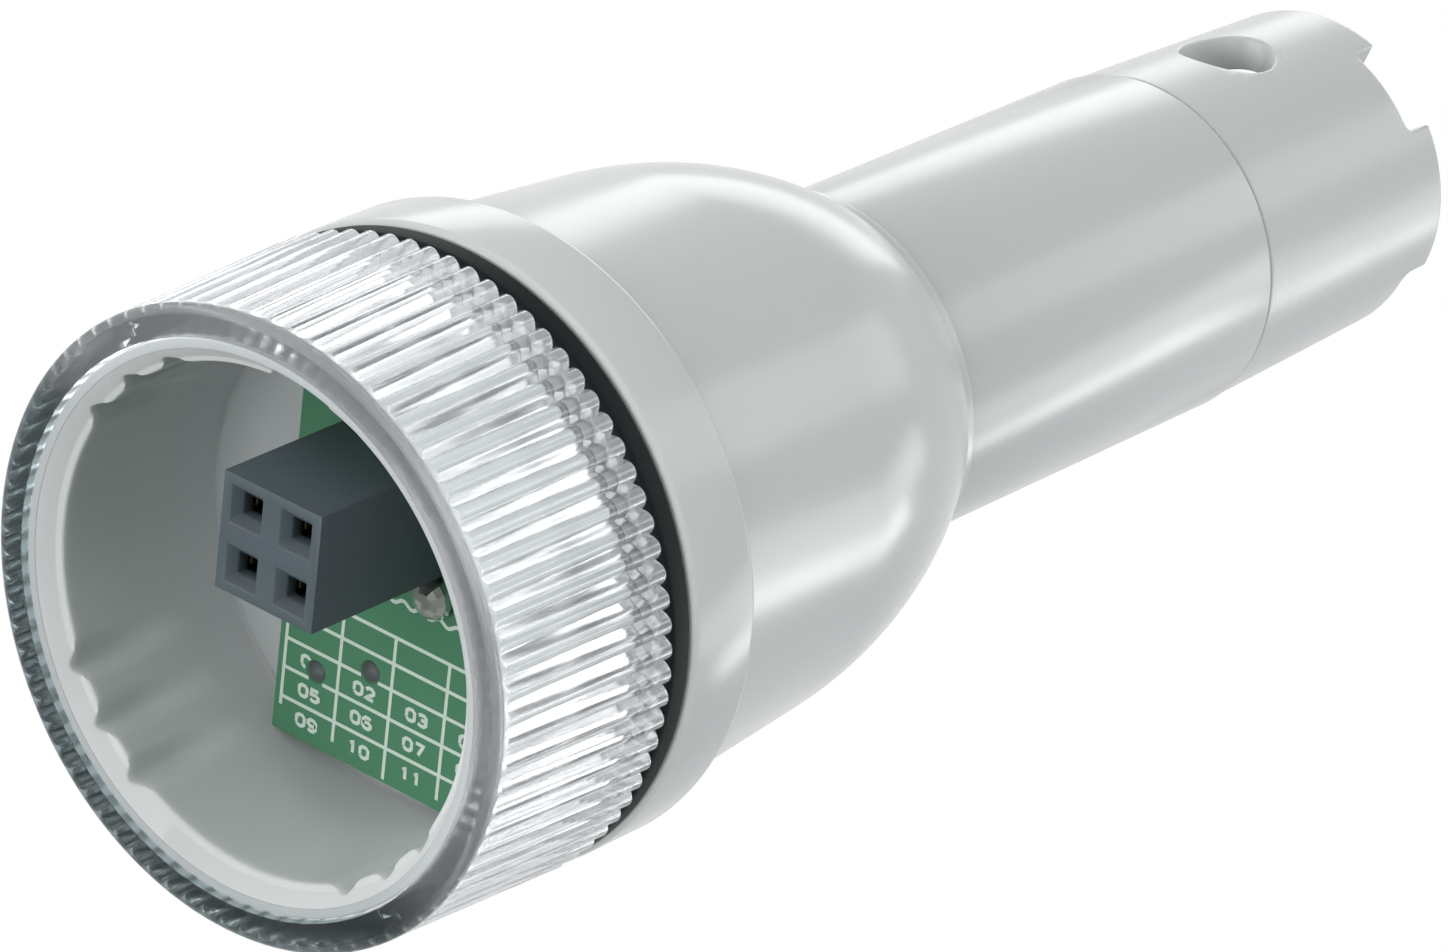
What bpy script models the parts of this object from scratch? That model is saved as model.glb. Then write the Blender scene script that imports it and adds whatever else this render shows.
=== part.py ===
"""Replaceable pH electrode of a pen meter, with its clear coupling ring.

The electrode is modelled in metres with its axis on Z.  The origin is the
centre of the coupling ring's front face, where the meter goes in, and the
electrode stands on that face with its sensing tip up.
"""

import math

import bmesh
import bpy
from mathutils import Matrix, Vector

MM = 0.001

# Clearances between pieces
FIT = 0.25 * MM                 # between pieces that are pressed or bonded together
RUN = 0.25 * MM                 # between the coupling ring and what it turns on
MERGE = 0.00001                 # merge distance of every modifier that merges

# Overall stations along the axis, from the ring's front face to the tip
TIP_Z = 69.6 * MM
GUARD_LENGTH = 13.3 * MM        # from the seam with the stem tube to the tip

# Coupling ring.  Its radius over the ribs drives the gasket, the flange, the bell and the neck
RING_RADIUS = 13.42 * MM        # over the tips of the ribs, at the rear
RING_REAR_Z = 9.75 * MM
RING_RIB_TAPER = 0.32 * MM      # less radius over the ribs at the front than at the rear
RING_LAND_INSET = 0.42 * MM     # smooth land in front of the ribs, below the rear radius
RING_FRONT_INSET = 0.6 * MM     # front edge, below the rear radius
RING_LAND_LENGTH = 0.75 * MM
RIB_COUNT = 80
RIB_HEIGHT = 0.42 * MM
RIB_RUN_IN = 0.35 * MM          # axial length in which a rib rises from the land
RIB_REAR_ROUND = 0.2 * MM
RING_WALL = 0.88 * MM           # at the front edge
RING_LIP_LENGTH = 0.8 * MM      # rear lip that runs in the neck's groove
RING_MOUTH_CHAMFER = 0.12 * MM

# Housing: neck, groove, flange and bell are one moulding
NECK_FRONT_Z = 0.25 * MM        # narrow land at the neck's front
NECK_LAND = 0.4 * MM            # width of that land
NECK_RIM_Z = 0.95 * MM          # where the lead-in behind the land meets the bore's edge
NECK_GAP = 0.25 * MM            # between the neck and the ring's bore
NECK_WALL = 1.19 * MM
NECK_FRONT_FILLET = 0.1 * MM
GROOVE_DEPTH = 0.59 * MM        # below the neck, for the ring's rear lip and the gasket
FLANGE_Z = 11.1 * MM
FLANGE_INSET = 0.02 * MM        # below the ring's radius
FLANGE_LENGTH = 3.75 * MM
FLANGE_FRONT_FILLET = 0.3 * MM
FLANGE_REAR_FILLET = 0.4 * MM
BELL_STEP = 0.8 * MM            # from the flange in to the bell
BELL_CONE_DRAFT = 0.8 * MM      # less radius at the cone's rear end than at its front
BELL_CONE_END_Z = 24.5 * MM
BELL_DOME_RADIUS = 21.5 * MM    # arc of the dome, tangent to the cone
BELL_LIP_WALL = 0.85 * MM       # round the stem
BELL_LIP_STEP = 0.17 * MM       # from the dome's end in to the lip
BELL_LIP_LENGTH = 0.65 * MM
BELL_LIP_FILLET = 0.15 * MM
BORE_CHAMFER = 0.25 * MM
SPLINE_DEPTH = 0.7 * MM         # from the bore out to the corners of its stepped grooves
SPLINE_LENGTH = 6.4 * MM
SPLINE_STEP = 12.5              # degrees between neighbouring grooves
SPLINE_CORNERS = (45.0, 135.0, 225.0)
KEY_ANGLES = (-60.0, -20.0)     # wide keyway, degrees about Z
SLOT_ANGLES = (-92.0, -78.0)    # narrow keyway beside it
FLOOR_THICKNESS = 1.4 * MM      # wall that the circuit board lies on
FLOOR_FILLET = 0.2 * MM
WINDOW_X = (-4.2 * MM, 6.0 * MM)    # window in that wall, for the solder joints and the leads
WINDOW_Y = (-6.7 * MM, 1.4 * MM)
WINDOW_FILLET = 1.0 * MM
WIRE_BAY_WALL = 2.5 * MM        # between the bay behind the floor and the neck's outside
WIRE_BAY_END_Z = 21.6 * MM
STEM_STOP_LAP = 0.4 * MM        # the stop's bore is this much wider than the stem's bore
STEM_STOP_LENGTH = 1.6 * MM

# Gasket between the ring and the flange
GASKET_INSET = 0.17 * MM        # below the ring's radius
GASKET_FILLET = 0.3 * MM

# Stem tube
STEM_RADIUS = 7.6 * MM
STEM_WALL = 1.6 * MM
STEM_SEAM_CHAMFER = 0.12 * MM
SPIGOT_LENGTH = 3.0 * MM        # reduced end that the guard is pressed on
SPIGOT_WALL = 0.75 * MM
O_RING_CORD = 1.3 * MM          # thickness of an O-ring
O_RING_SQUEEZE = 0.25 * MM      # groove depth less than the cord
O_RING_DROPS = (7.5 * MM, 3.7 * MM)    # below the bell's end

# Guard
GUARD_ROOT_INSET = 0.07 * MM    # below the stem's radius
GUARD_TIP_INSET = 0.5 * MM
GUARD_EDGE_FILLET = 0.3 * MM
GUARD_HOLE_RADIUS = 2.25 * MM
GUARD_HOLE_DROP = 7.0 * MM      # from the tip down to the holes' centres
GUARD_HOLE_ANGLE = -98.5        # degrees about Z, the first of two
GUARD_NOTCH_DEPTH = 1.55 * MM
GUARD_NOTCH_WIDTH = 4.25 * MM
GUARD_NOTCH_FILLET = 0.45 * MM
GUARD_HOLES = 2
GUARD_NOTCHES = 4               # the first is half a pitch past the first hole

# Sensing head inside the stem and the guard
SEAL_LENGTH = 4.6 * MM
SEAL_RING_WIDTH = 3.4 * MM      # between the glass and the stem's bore
GLASS_WALL = 0.5 * MM
BULB_SWELL = 0.7 * MM           # from the glass tube out to the bulb
BULB_WALL = 0.4 * MM
BULB_DROP = 5.4 * MM            # from the tip down to the bulb's centre
GLASS_REAR_Z = 29.5 * MM
PROBE_INSET = 1.65 * MM         # junction and thermistor axes, inside the stem's bore
JUNCTION_RADIUS = 0.6 * MM
JUNCTION_PROUD = 0.5 * MM
THERMISTOR_RADIUS = 0.75 * MM
THERMISTOR_LENGTH = 10.0 * MM
THERMISTOR_PROUD = 3.4 * MM
REFERENCE_WIRE_GAP = 3.5 * MM   # from the wire's end to the junction
GLASS_WIRE_DROP = 7.1 * MM
ELECTRODE_WIRE_RADIUS = 0.3 * MM
PLUG_LENGTH = 3.0 * MM

# Circuit board
BOARD_Z = 8.0 * MM              # its front face
BOARD_THICKNESS = 1.6 * MM
BOARD_LEFT_X = -4.9 * MM
BOARD_RIGHT_X = 6.7 * MM
BOARD_END_HALF_WIDTH = 4.8 * MM # half the width of its straight ends
BOARD_EDGE_GAP = 0.3 * MM
VIA_RADIUS = 0.45 * MM
VIA_PLACES = ((-2.83 * MM, 5.68 * MM), (-0.07 * MM, 4.5 * MM))

# Two by two socket header on the board
PITCH = 2.54 * MM
HEADER_X = 0.75 * MM
HEADER_Y = -3.75 * MM
HEADER_HEIGHT = 7.55 * MM
HEADER_BASE = 1.1 * MM          # solid base under each contact
HEADER_SKIN = 0.5 * MM          # front wall that the entry holes go through
FUNNEL_SIDE = 1.65 * MM
ENTRY_SIDE = 0.95 * MM
CELL_SIDE = 1.7 * MM            # cavity of one contact
CONTACT_SIDE = 1.2 * MM
CONTACT_METAL = 0.2 * MM
PIN_SIDE = 0.6 * MM
PIN_HOLE_RADIUS = 0.65 * MM
PIN_PROUD = 1.0 * MM            # pin length behind the board

# Wires from the sensing head to the board
WIRE_RADIUS = 0.4 * MM
WIRE_HOLE_RADIUS = 0.65 * MM
WIRE_PADS = (
    (2.95 * MM, -0.2 * MM),
    (5.1 * MM, -2.9 * MM),
    (5.1 * MM, -5.4 * MM),
    (-3.4 * MM, -3.75 * MM),
)
SOLDER_RADIUS = 0.95 * MM
SOLDER_HEIGHT = 0.75 * MM
POTTING_LENGTH = 4.0 * MM
POTTING_CHANNEL_RADIUS = 0.65 * MM

TURN_STEPS = 64                 # facets around the large turned pieces
SMALL_TURN_STEPS = 24
WIRE_TURN_STEPS = 10

# Sizes that follow from the ones above
SEAM_Z = TIP_Z - GUARD_LENGTH
GUARD_HOLE_Z = TIP_Z - GUARD_HOLE_DROP
BULB_CENTRE_Z = TIP_Z - BULB_DROP
GLASS_WIRE_TIP_Z = TIP_Z - GLASS_WIRE_DROP
GUARD_ROOT_RADIUS = STEM_RADIUS - GUARD_ROOT_INSET
GUARD_TIP_RADIUS = STEM_RADIUS - GUARD_TIP_INSET
RING_FRONT_RADIUS = RING_RADIUS - RING_FRONT_INSET
RING_LAND_RADIUS = RING_RADIUS - RING_LAND_INSET
RING_BORE = RING_FRONT_RADIUS - RING_WALL
NECK_RADIUS = RING_BORE - NECK_GAP
GROOVE_RADIUS = NECK_RADIUS - GROOVE_DEPTH
RING_LIP_RADIUS = GROOVE_RADIUS + RUN
RING_LIP_Z = RING_REAR_Z - RING_LIP_LENGTH
GROOVE_Z = RING_LIP_Z - RUN
GASKET_RADIUS = RING_RADIUS - GASKET_INSET
FLANGE_RADIUS = RING_RADIUS - FLANGE_INSET
FLANGE_END_Z = FLANGE_Z + FLANGE_LENGTH
BELL_FRONT_RADIUS = FLANGE_RADIUS - BELL_STEP
BELL_CONE_END_RADIUS = BELL_FRONT_RADIUS - BELL_CONE_DRAFT
BELL_LIP_RADIUS = STEM_RADIUS + BELL_LIP_WALL
BELL_SLOPE = math.atan2(BELL_CONE_DRAFT, BELL_CONE_END_Z - FLANGE_END_Z)
DOME_CENTRE_Z = BELL_CONE_END_Z - BELL_DOME_RADIUS * math.sin(BELL_SLOPE)
DOME_CENTRE_R = BELL_CONE_END_RADIUS - BELL_DOME_RADIUS * math.cos(BELL_SLOPE)
DOME_END_ANGLE = math.acos((BELL_LIP_RADIUS + BELL_LIP_STEP - DOME_CENTRE_R) / BELL_DOME_RADIUS)
DOME_END_Z = DOME_CENTRE_Z + BELL_DOME_RADIUS * math.sin(DOME_END_ANGLE)
BELL_END_Z = DOME_END_Z + BELL_LIP_LENGTH
O_RING_STATIONS = tuple(BELL_END_Z - drop for drop in O_RING_DROPS)
BORE_RADIUS = NECK_RADIUS - NECK_WALL
SPLINE_RADIUS = BORE_RADIUS + SPLINE_DEPTH
WIRE_BAY_RADIUS = NECK_RADIUS - WIRE_BAY_WALL
BOARD_BACK_Z = BOARD_Z + BOARD_THICKNESS
FLOOR_Z = BOARD_BACK_Z + BOARD_EDGE_GAP
FLOOR_BACK_Z = FLOOR_Z + FLOOR_THICKNESS
POTTING_FRONT_Z = FLOOR_BACK_Z + FIT
STEM_BORE = STEM_RADIUS - STEM_WALL
GLASS_RADIUS = STEM_BORE - SEAL_RING_WIDTH
BULB_RADIUS = GLASS_RADIUS + BULB_SWELL
PROBE_OFFSET = STEM_BORE - PROBE_INSET
STEM_STOP_RADIUS = STEM_BORE + STEM_STOP_LAP
STEM_STOP_Z = WIRE_BAY_END_Z + STEM_STOP_LENGTH
STEM_REAR_Z = STEM_STOP_Z + FIT
SPIGOT_RADIUS = STEM_BORE + SPIGOT_WALL
SPIGOT_END_Z = SEAM_Z + SPIGOT_LENGTH
SEAL_FRONT_Z = SPIGOT_END_Z
SEAL_REAR_Z = SEAL_FRONT_Z - SEAL_LENGTH
GUARD_BORE = STEM_BORE - FIT
HEADER_FRONT_Z = BOARD_Z - FIT - HEADER_HEIGHT


def clear_scene():
    """Remove every object, so that the script gives the same model each run."""
    for item in list(bpy.data.objects):
        bpy.data.objects.remove(item, do_unlink=True)


def make_collection(name):
    """Return a new collection linked to the scene."""
    collection = bpy.data.collections.new(name)
    bpy.context.scene.collection.children.link(collection)
    return collection


def make_material(name, colour, roughness, metallic=0.0, alpha=1.0, transmission=0.0):
    """Return a Principled material; colour is linear RGB."""
    material = bpy.data.materials.new(name)
    material.use_nodes = True
    shader = material.node_tree.nodes["Principled BSDF"]
    shader.inputs["Base Color"].default_value = (*colour, 1.0)
    shader.inputs["Roughness"].default_value = roughness
    shader.inputs["Metallic"].default_value = metallic
    shader.inputs["Alpha"].default_value = alpha
    shader.inputs["Transmission Weight"].default_value = transmission
    material.diffuse_color = (*colour, alpha)
    return material


def link(name, mesh, collection, material=None):
    """Make an object of the mesh in the collection."""
    item = bpy.data.objects.new(name, mesh)
    collection.objects.link(item)
    if material is not None:
        mesh.materials.append(material)
    return item


def as_cutter(item):
    """Mark an object as a cutter, which is never part of the model."""
    item.hide_render = True
    item.display_type = "WIRE"
    return item


def cut(item, cutter, operation="DIFFERENCE"):
    """Add an exact Boolean of the cutter to the object."""
    modifier = item.modifiers.new(f"{operation.title()} {cutter.name}", "BOOLEAN")
    modifier.operation = operation
    modifier.solver = "EXACT"
    modifier.object = cutter


def soften(item, width, segments=2, angle=35.0):
    """Add a Bevel that rounds the object's sharp edges."""
    modifier = item.modifiers.new("Rounded edges", "BEVEL")
    modifier.width = width
    modifier.segments = segments
    modifier.limit_method = "ANGLE"
    modifier.angle_limit = math.radians(angle)


def fillet(corners, segments=2):
    """Return the closed outline through (x, y, radius) corners, with its corners rounded."""
    outline = []
    for index, (x, y, radius) in enumerate(corners):
        here = Vector((x, y))
        if radius == 0:
            outline.append(here)
            continue
        before = Vector(corners[index - 1][:2])
        after = Vector(corners[(index + 1) % len(corners)][:2])
        to_before = (before - here).normalized()
        to_after = (after - here).normalized()
        half = to_before.angle(to_after) / 2
        reach = min(radius / math.tan(half), 0.49 * min((before - here).length, (after - here).length))
        start = here + to_before * reach
        end = here + to_after * reach
        for step in range(segments + 1):
            share = step / segments
            outline.append(start.lerp(here, share).lerp(here.lerp(end, share), share))
    return outline


def turned(name, outline, collection, material=None, steps=TURN_STEPS):
    """Turn an (r, z) outline about Z with a Screw modifier.

    The outline runs down its outer side and up its inner side or the axis.
    A point with no radius lies on the axis and leaves the outline open there.
    """
    points = [tuple(point) for point in outline]
    on_axis = [point[0] < MERGE for point in points]
    mesh = bpy.data.meshes.new(name)
    count = len(points)
    edges = [(index, (index + 1) % count) for index in range(count)]
    edges = [edge for edge in edges if not (on_axis[edge[0]] and on_axis[edge[1]])]
    mesh.from_pydata([(point[0], 0.0, point[1]) for point in points], edges, [])
    item = link(name, mesh, collection, material)
    screw = item.modifiers.new("Turned", "SCREW")
    screw.axis = "Z"
    screw.steps = steps
    screw.render_steps = steps
    screw.use_merge_vertices = True
    screw.merge_threshold = MERGE
    screw.use_smooth_shade = True
    return item


def prism(name, outline, z_low, z_high, collection, material=None):
    """Extrude a flat (x, y) outline from z_low to z_high as a closed solid."""
    shape = bmesh.new()
    loop = [shape.verts.new((point[0], point[1], z_low)) for point in outline]
    base = shape.faces.new(loop)
    lifted = bmesh.ops.extrude_face_region(shape, geom=[base])["geom"]
    top = [vert for vert in lifted if isinstance(vert, bmesh.types.BMVert)]
    bmesh.ops.translate(shape, verts=top, vec=(0, 0, z_high - z_low))
    bmesh.ops.recalc_face_normals(shape, faces=shape.faces)
    return link(name, finished_mesh(name, shape), collection, material)


def finished_mesh(name, shape):
    """Write a bmesh to a new mesh and free it."""
    mesh = bpy.data.meshes.new(name)
    shape.to_mesh(mesh)
    shape.free()
    return mesh


def add_box(shape, size, centre):
    """Add a box to a bmesh."""
    place = Matrix.Translation(centre) @ Matrix.Diagonal((*size, 1.0))
    bmesh.ops.create_cube(shape, size=1.0, matrix=place)


def add_rod(shape, radius, z_low, z_high, centre=(0.0, 0.0), segments=SMALL_TURN_STEPS, end_radius=None):
    """Add a rod or a cone frustum along Z to a bmesh."""
    place = Matrix.Translation((centre[0], centre[1], (z_low + z_high) / 2))
    bmesh.ops.create_cone(
        shape,
        cap_ends=True,
        segments=segments,
        radius1=radius,
        radius2=radius if end_radius is None else end_radius,
        depth=z_high - z_low,
        matrix=place,
    )


def square_loft(name, stations, centre, collection):
    """Return a solid of square sections, given as (z, side) stations along Z."""
    shape = bmesh.new()
    loops = []
    for z, side in stations:
        half = side / 2
        corners = ((-half, -half), (half, -half), (half, half), (-half, half))
        loops.append([shape.verts.new((centre[0] + x, centre[1] + y, z)) for x, y in corners])
    for lower, upper in zip(loops, loops[1:]):
        for index in range(4):
            after = (index + 1) % 4
            shape.faces.new((lower[index], lower[after], upper[after], upper[index]))
    shape.faces.new(reversed(loops[0]))
    shape.faces.new(loops[-1])
    bmesh.ops.recalc_face_normals(shape, faces=shape.faces)
    return link(name, finished_mesh(name, shape), collection)


def polar(radius, degrees):
    """Return the (x, y) point at a radius and an angle about Z."""
    angle = math.radians(degrees)
    return radius * math.cos(angle), radius * math.sin(angle)


def make_ring_blank(collection, material):
    """Return the coupling ring's outside, a solid loft from the round land to the ribbed rear."""
    ridge = ((0.0, 0.0), (0.22, 0.72), (0.5, 1.0), (0.78, 0.72))   # share of a pitch, share of the height
    rib_start_z = RING_LAND_LENGTH + RIB_RUN_IN
    round_z = RING_REAR_Z - RIB_REAR_ROUND
    sections = (
        (0.0, RING_FRONT_RADIUS - RING_MOUTH_CHAMFER, 0.0),
        (RING_MOUTH_CHAMFER, RING_FRONT_RADIUS, 0.0),
        (RING_LAND_LENGTH, RING_LAND_RADIUS, 0.0),
        (rib_start_z, RING_RADIUS - RING_RIB_TAPER, RIB_HEIGHT),
        (round_z, RING_RADIUS, RIB_HEIGHT),
        (RING_REAR_Z, RING_RADIUS - RIB_REAR_ROUND, RIB_HEIGHT - RIB_REAR_ROUND / 2),
    )
    shape = bmesh.new()
    loops = []
    for z, tip_radius, height in sections:
        loop = []
        for rib in range(RIB_COUNT):
            for place, share in ridge:
                x, y = polar(tip_radius - height * (1 - share), 360.0 * (rib + place) / RIB_COUNT)
                loop.append(shape.verts.new((x, y, z)))
        loops.append(loop)
    count = RIB_COUNT * len(ridge)
    for lower, upper in zip(loops, loops[1:]):
        for index in range(count):
            after = (index + 1) % count
            shape.faces.new((lower[index], lower[after], upper[after], upper[index]))
    shape.faces.new(reversed(loops[0]))
    shape.faces.new(loops[-1])
    return link("coupling_ring", finished_mesh("coupling_ring", shape), collection, material)


def make_coupling_ring(parts, cutters, material):
    """Make the clear ribbed ring that turns on the housing's neck."""
    ring = make_ring_blank(parts, material)
    beyond = MM
    inside = [
        (RING_BORE, RING_LIP_Z, 0.0),
        (RING_BORE, RING_MOUTH_CHAMFER, 0.0),
        (RING_BORE + RING_MOUTH_CHAMFER, 0.0, 0.0),
        (RING_BORE + RING_MOUTH_CHAMFER, -beyond, 0.0),
        (0.0, -beyond, 0.0),
        (0.0, RING_REAR_Z + beyond, 0.0),
        (RING_LIP_RADIUS, RING_REAR_Z + beyond, 0.0),
        (RING_LIP_RADIUS, RING_LIP_Z, 0.0),
    ]
    bore = as_cutter(turned("ring_bore", fillet(inside), cutters))
    cut(ring, bore)
    return ring


def dome_arc(segments=8):
    """Return (r, z) points down the bell's dome, from the step at its lip to the cone."""
    arc = []
    for step in range(segments + 1):
        angle = DOME_END_ANGLE + (BELL_SLOPE - DOME_END_ANGLE) * step / segments
        radius = DOME_CENTRE_R + BELL_DOME_RADIUS * math.cos(angle)
        arc.append((radius, DOME_CENTRE_Z + BELL_DOME_RADIUS * math.sin(angle)))
    return arc


def make_spline_cutters(cutters):
    """Return the cutters of the stepped grooves and the two keyways in the neck's bore."""
    z_low = NECK_FRONT_Z - MM
    z_high = NECK_RIM_Z + SPLINE_LENGTH
    grooves = []
    for corner in SPLINE_CORNERS:
        for offset in (-SPLINE_STEP, 0.0, SPLINE_STEP):
            x, y = polar(SPLINE_RADIUS, corner + offset)
            outline = [(0.0, 0.0), (x, 0.0), (x, y), (0.0, y)]
            if x * y < 0:
                outline.reverse()
            grooves.append(prism("neck_groove", outline, z_low, z_high, cutters))
    for start, end in (KEY_ANGLES, SLOT_ANGLES):
        arc_steps = max(3, round((end - start) / 4))
        arc = [polar(SPLINE_RADIUS, start + (end - start) * step / arc_steps) for step in range(arc_steps + 1)]
        grooves.append(prism("neck_keyway", [(0.0, 0.0)] + arc, z_low, z_high, cutters))
    return [as_cutter(groove) for groove in grooves]


def make_housing(parts, cutters, material):
    """Make the neck, flange and bell, which are one moulding."""
    outside = [(BELL_LIP_RADIUS, BELL_END_Z, BELL_LIP_FILLET), (BELL_LIP_RADIUS, DOME_END_Z, 0.0)]
    outside += [(r, z, 0.0) for r, z in dome_arc()]
    socket_radius = STEM_RADIUS + FIT
    outside += [
        (BELL_FRONT_RADIUS, FLANGE_END_Z, 0.0),
        (FLANGE_RADIUS, FLANGE_END_Z, FLANGE_REAR_FILLET),
        (FLANGE_RADIUS, FLANGE_Z, FLANGE_FRONT_FILLET),
        (GROOVE_RADIUS, FLANGE_Z, 0.0),
        (GROOVE_RADIUS, GROOVE_Z, 0.0),
        (NECK_RADIUS, GROOVE_Z, 0.0),
        (NECK_RADIUS, NECK_FRONT_Z, NECK_FRONT_FILLET),
        (NECK_RADIUS - NECK_LAND, NECK_FRONT_Z, 0.0),
        (BORE_RADIUS + BORE_CHAMFER, NECK_RIM_Z, 0.0),
        (BORE_RADIUS, NECK_RIM_Z + BORE_CHAMFER, 0.0),
        (BORE_RADIUS, FLOOR_Z, FLOOR_FILLET),
        (0.0, FLOOR_Z, 0.0),
        (0.0, FLOOR_BACK_Z, 0.0),
        (WIRE_BAY_RADIUS, FLOOR_BACK_Z, 0.0),
        (WIRE_BAY_RADIUS, WIRE_BAY_END_Z, 0.0),
        (STEM_STOP_RADIUS, WIRE_BAY_END_Z, 0.0),
        (STEM_STOP_RADIUS, STEM_STOP_Z, 0.0),
        (socket_radius, STEM_STOP_Z, 0.0),
        (socket_radius, BELL_END_Z, 0.0),
    ]
    housing = turned("housing", fillet(outside), parts, material)
    for groove in make_spline_cutters(cutters):
        cut(housing, groove)
    window = fillet([
        (WINDOW_X[0], WINDOW_Y[0], WINDOW_FILLET), (WINDOW_X[1], WINDOW_Y[0], WINDOW_FILLET),
        (WINDOW_X[1], WINDOW_Y[1], WINDOW_FILLET), (WINDOW_X[0], WINDOW_Y[1], WINDOW_FILLET),
    ])
    cut(housing, as_cutter(prism("floor_window", window, FLOOR_Z - MM, FLOOR_BACK_Z + MM, cutters)))
    return housing


def make_gasket(parts, material):
    """Make the black gasket between the coupling ring and the flange."""
    front_z = RING_REAR_Z + RUN
    rear_z = FLANGE_Z - FIT
    inner = GROOVE_RADIUS + FIT
    corners = [
        (GASKET_RADIUS, rear_z, GASKET_FILLET),
        (GASKET_RADIUS, front_z, GASKET_FILLET),
        (inner, front_z, 0.0),
        (inner, rear_z, 0.0),
    ]
    return turned("gasket", fillet(corners), parts, material)


def make_stem_tube(parts, material):
    """Make the stem, with O-ring grooves in the bell and a spigot in the guard."""
    groove_floor = STEM_RADIUS - O_RING_CORD + O_RING_SQUEEZE
    half = O_RING_CORD / 2 + FIT
    corners = [
        (SPIGOT_RADIUS, SPIGOT_END_Z, 0.0),
        (SPIGOT_RADIUS, SEAM_Z, 0.0),
        (STEM_RADIUS, SEAM_Z, STEM_SEAM_CHAMFER),
    ]
    for station in reversed(O_RING_STATIONS):
        corners += [
            (STEM_RADIUS, station + half, 0.0),
            (groove_floor, station + half, 0.0),
            (groove_floor, station - half, 0.0),
            (STEM_RADIUS, station - half, 0.0),
        ]
    corners += [
        (STEM_RADIUS, STEM_REAR_Z, STEM_SEAM_CHAMFER),
        (STEM_BORE, STEM_REAR_Z, 0.0),
        (STEM_BORE, SPIGOT_END_Z, 0.0),
    ]
    return turned("stem_tube", fillet(corners, segments=2), parts, material, steps=48)


def make_o_rings(parts, material):
    """Make the two O-rings that seal the stem in the bell."""
    cord = O_RING_CORD / 2 - FIT / 2
    ring_radius = STEM_RADIUS + FIT - FIT / 2 - cord
    rings = []
    for number, station in enumerate(O_RING_STATIONS, start=1):
        section = [
            (ring_radius + cord * math.cos(angle), station - cord * math.sin(angle))
            for angle in (math.tau * step / 8 for step in range(6))
        ]
        rings.append(turned(f"o_ring_{number}", section, parts, material, steps=28))
    return rings


def make_guard(parts, cutters, material):
    """Make the open guard round the bulb, with two opposite holes and a notched end."""
    root_z = SEAM_Z + FIT
    counterbore = SPIGOT_RADIUS + FIT
    step_z = SPIGOT_END_Z + FIT
    corners = [
        (GUARD_TIP_RADIUS, TIP_Z, GUARD_EDGE_FILLET),
        (GUARD_ROOT_RADIUS, root_z, STEM_SEAM_CHAMFER),
        (counterbore, root_z, 0.0),
        (counterbore, step_z, 0.0),
        (GUARD_BORE, step_z, 0.0),
        (GUARD_BORE, TIP_Z, GUARD_EDGE_FILLET),
    ]
    guard = turned("guard", fillet(corners, segments=2), parts, material, steps=48)
    reach = GUARD_ROOT_RADIUS + MM
    notch_reach = TIP_Z + MM
    floor_z = TIP_Z - GUARD_NOTCH_DEPTH
    half = GUARD_NOTCH_WIDTH / 2
    for index in range(GUARD_HOLES):
        shape = bmesh.new()
        add_rod(shape, GUARD_HOLE_RADIUS, 0.0, reach, segments=24)
        hole = as_cutter(link(f"guard_hole_{index + 1}", finished_mesh("guard_hole", shape), cutters))
        degrees = GUARD_HOLE_ANGLE + 360.0 * index / GUARD_HOLES
        turn = Matrix.Rotation(math.radians(degrees), 4, "Z") @ Matrix.Rotation(math.pi / 2, 4, "Y")
        hole.matrix_world = Matrix.Translation((0, 0, GUARD_HOLE_Z)) @ turn
        cut(guard, hole)
    for index in range(GUARD_NOTCHES):
        outline = fillet([
            (-half, floor_z, GUARD_NOTCH_FILLET),
            (half, floor_z, GUARD_NOTCH_FILLET),
            (half, notch_reach, 0.0),
            (-half, notch_reach, 0.0),
        ])
        notch = as_cutter(prism(f"guard_notch_{index + 1}", outline, 0.0, reach, cutters))
        degrees = GUARD_HOLE_ANGLE + 360.0 * (index + 0.5) / GUARD_NOTCHES
        upright = Matrix(((0, 0, 1, 0), (1, 0, 0, 0), (0, 1, 0, 0), (0, 0, 0, 1)))
        notch.matrix_world = Matrix.Rotation(math.radians(degrees), 4, "Z") @ upright
        cut(guard, notch)
    return guard


def make_front_seal(parts, cutters, material):
    """Make the seal that closes the stem and holds the bulb, the junction and the thermistor."""
    radius = STEM_BORE - FIT
    seal = turned("front_seal", [
        (0.0, SEAL_FRONT_Z), (radius, SEAL_FRONT_Z), (radius, SEAL_REAR_Z), (0.0, SEAL_REAR_Z),
    ], parts, material, steps=48)
    shape = bmesh.new()
    low, high = SEAL_REAR_Z - MM, SEAL_FRONT_Z + MM
    add_rod(shape, GLASS_RADIUS + FIT, low, high)
    add_rod(shape, JUNCTION_RADIUS + FIT, low, high, polar(PROBE_OFFSET, GUARD_HOLE_ANGLE), 16)
    add_rod(shape, THERMISTOR_RADIUS + FIT, low, high, polar(PROBE_OFFSET, GUARD_HOLE_ANGLE + 180.0), 16)
    holes = as_cutter(link("seal_holes", finished_mesh("seal_holes", shape), cutters))
    cut(seal, holes)
    return seal


def make_rear_plug(parts, cutters, material):
    """Make the plug at the stem's rear end, which holds the glass tube and passes the wires."""
    radius = STEM_BORE - FIT
    front_z = STEM_REAR_Z + PLUG_LENGTH
    plug = turned("rear_plug", [
        (0.0, front_z), (radius, front_z), (radius, STEM_REAR_Z), (0.0, STEM_REAR_Z),
    ], parts, material, steps=48)
    shape = bmesh.new()
    for x, y in plug_holes():
        add_rod(shape, WIRE_RADIUS + FIT, STEM_REAR_Z - MM, front_z + MM, (x, y), WIRE_TURN_STEPS)
    holes = as_cutter(link("plug_holes", finished_mesh("plug_holes", shape), cutters))
    cut(plug, holes)
    return plug


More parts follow.
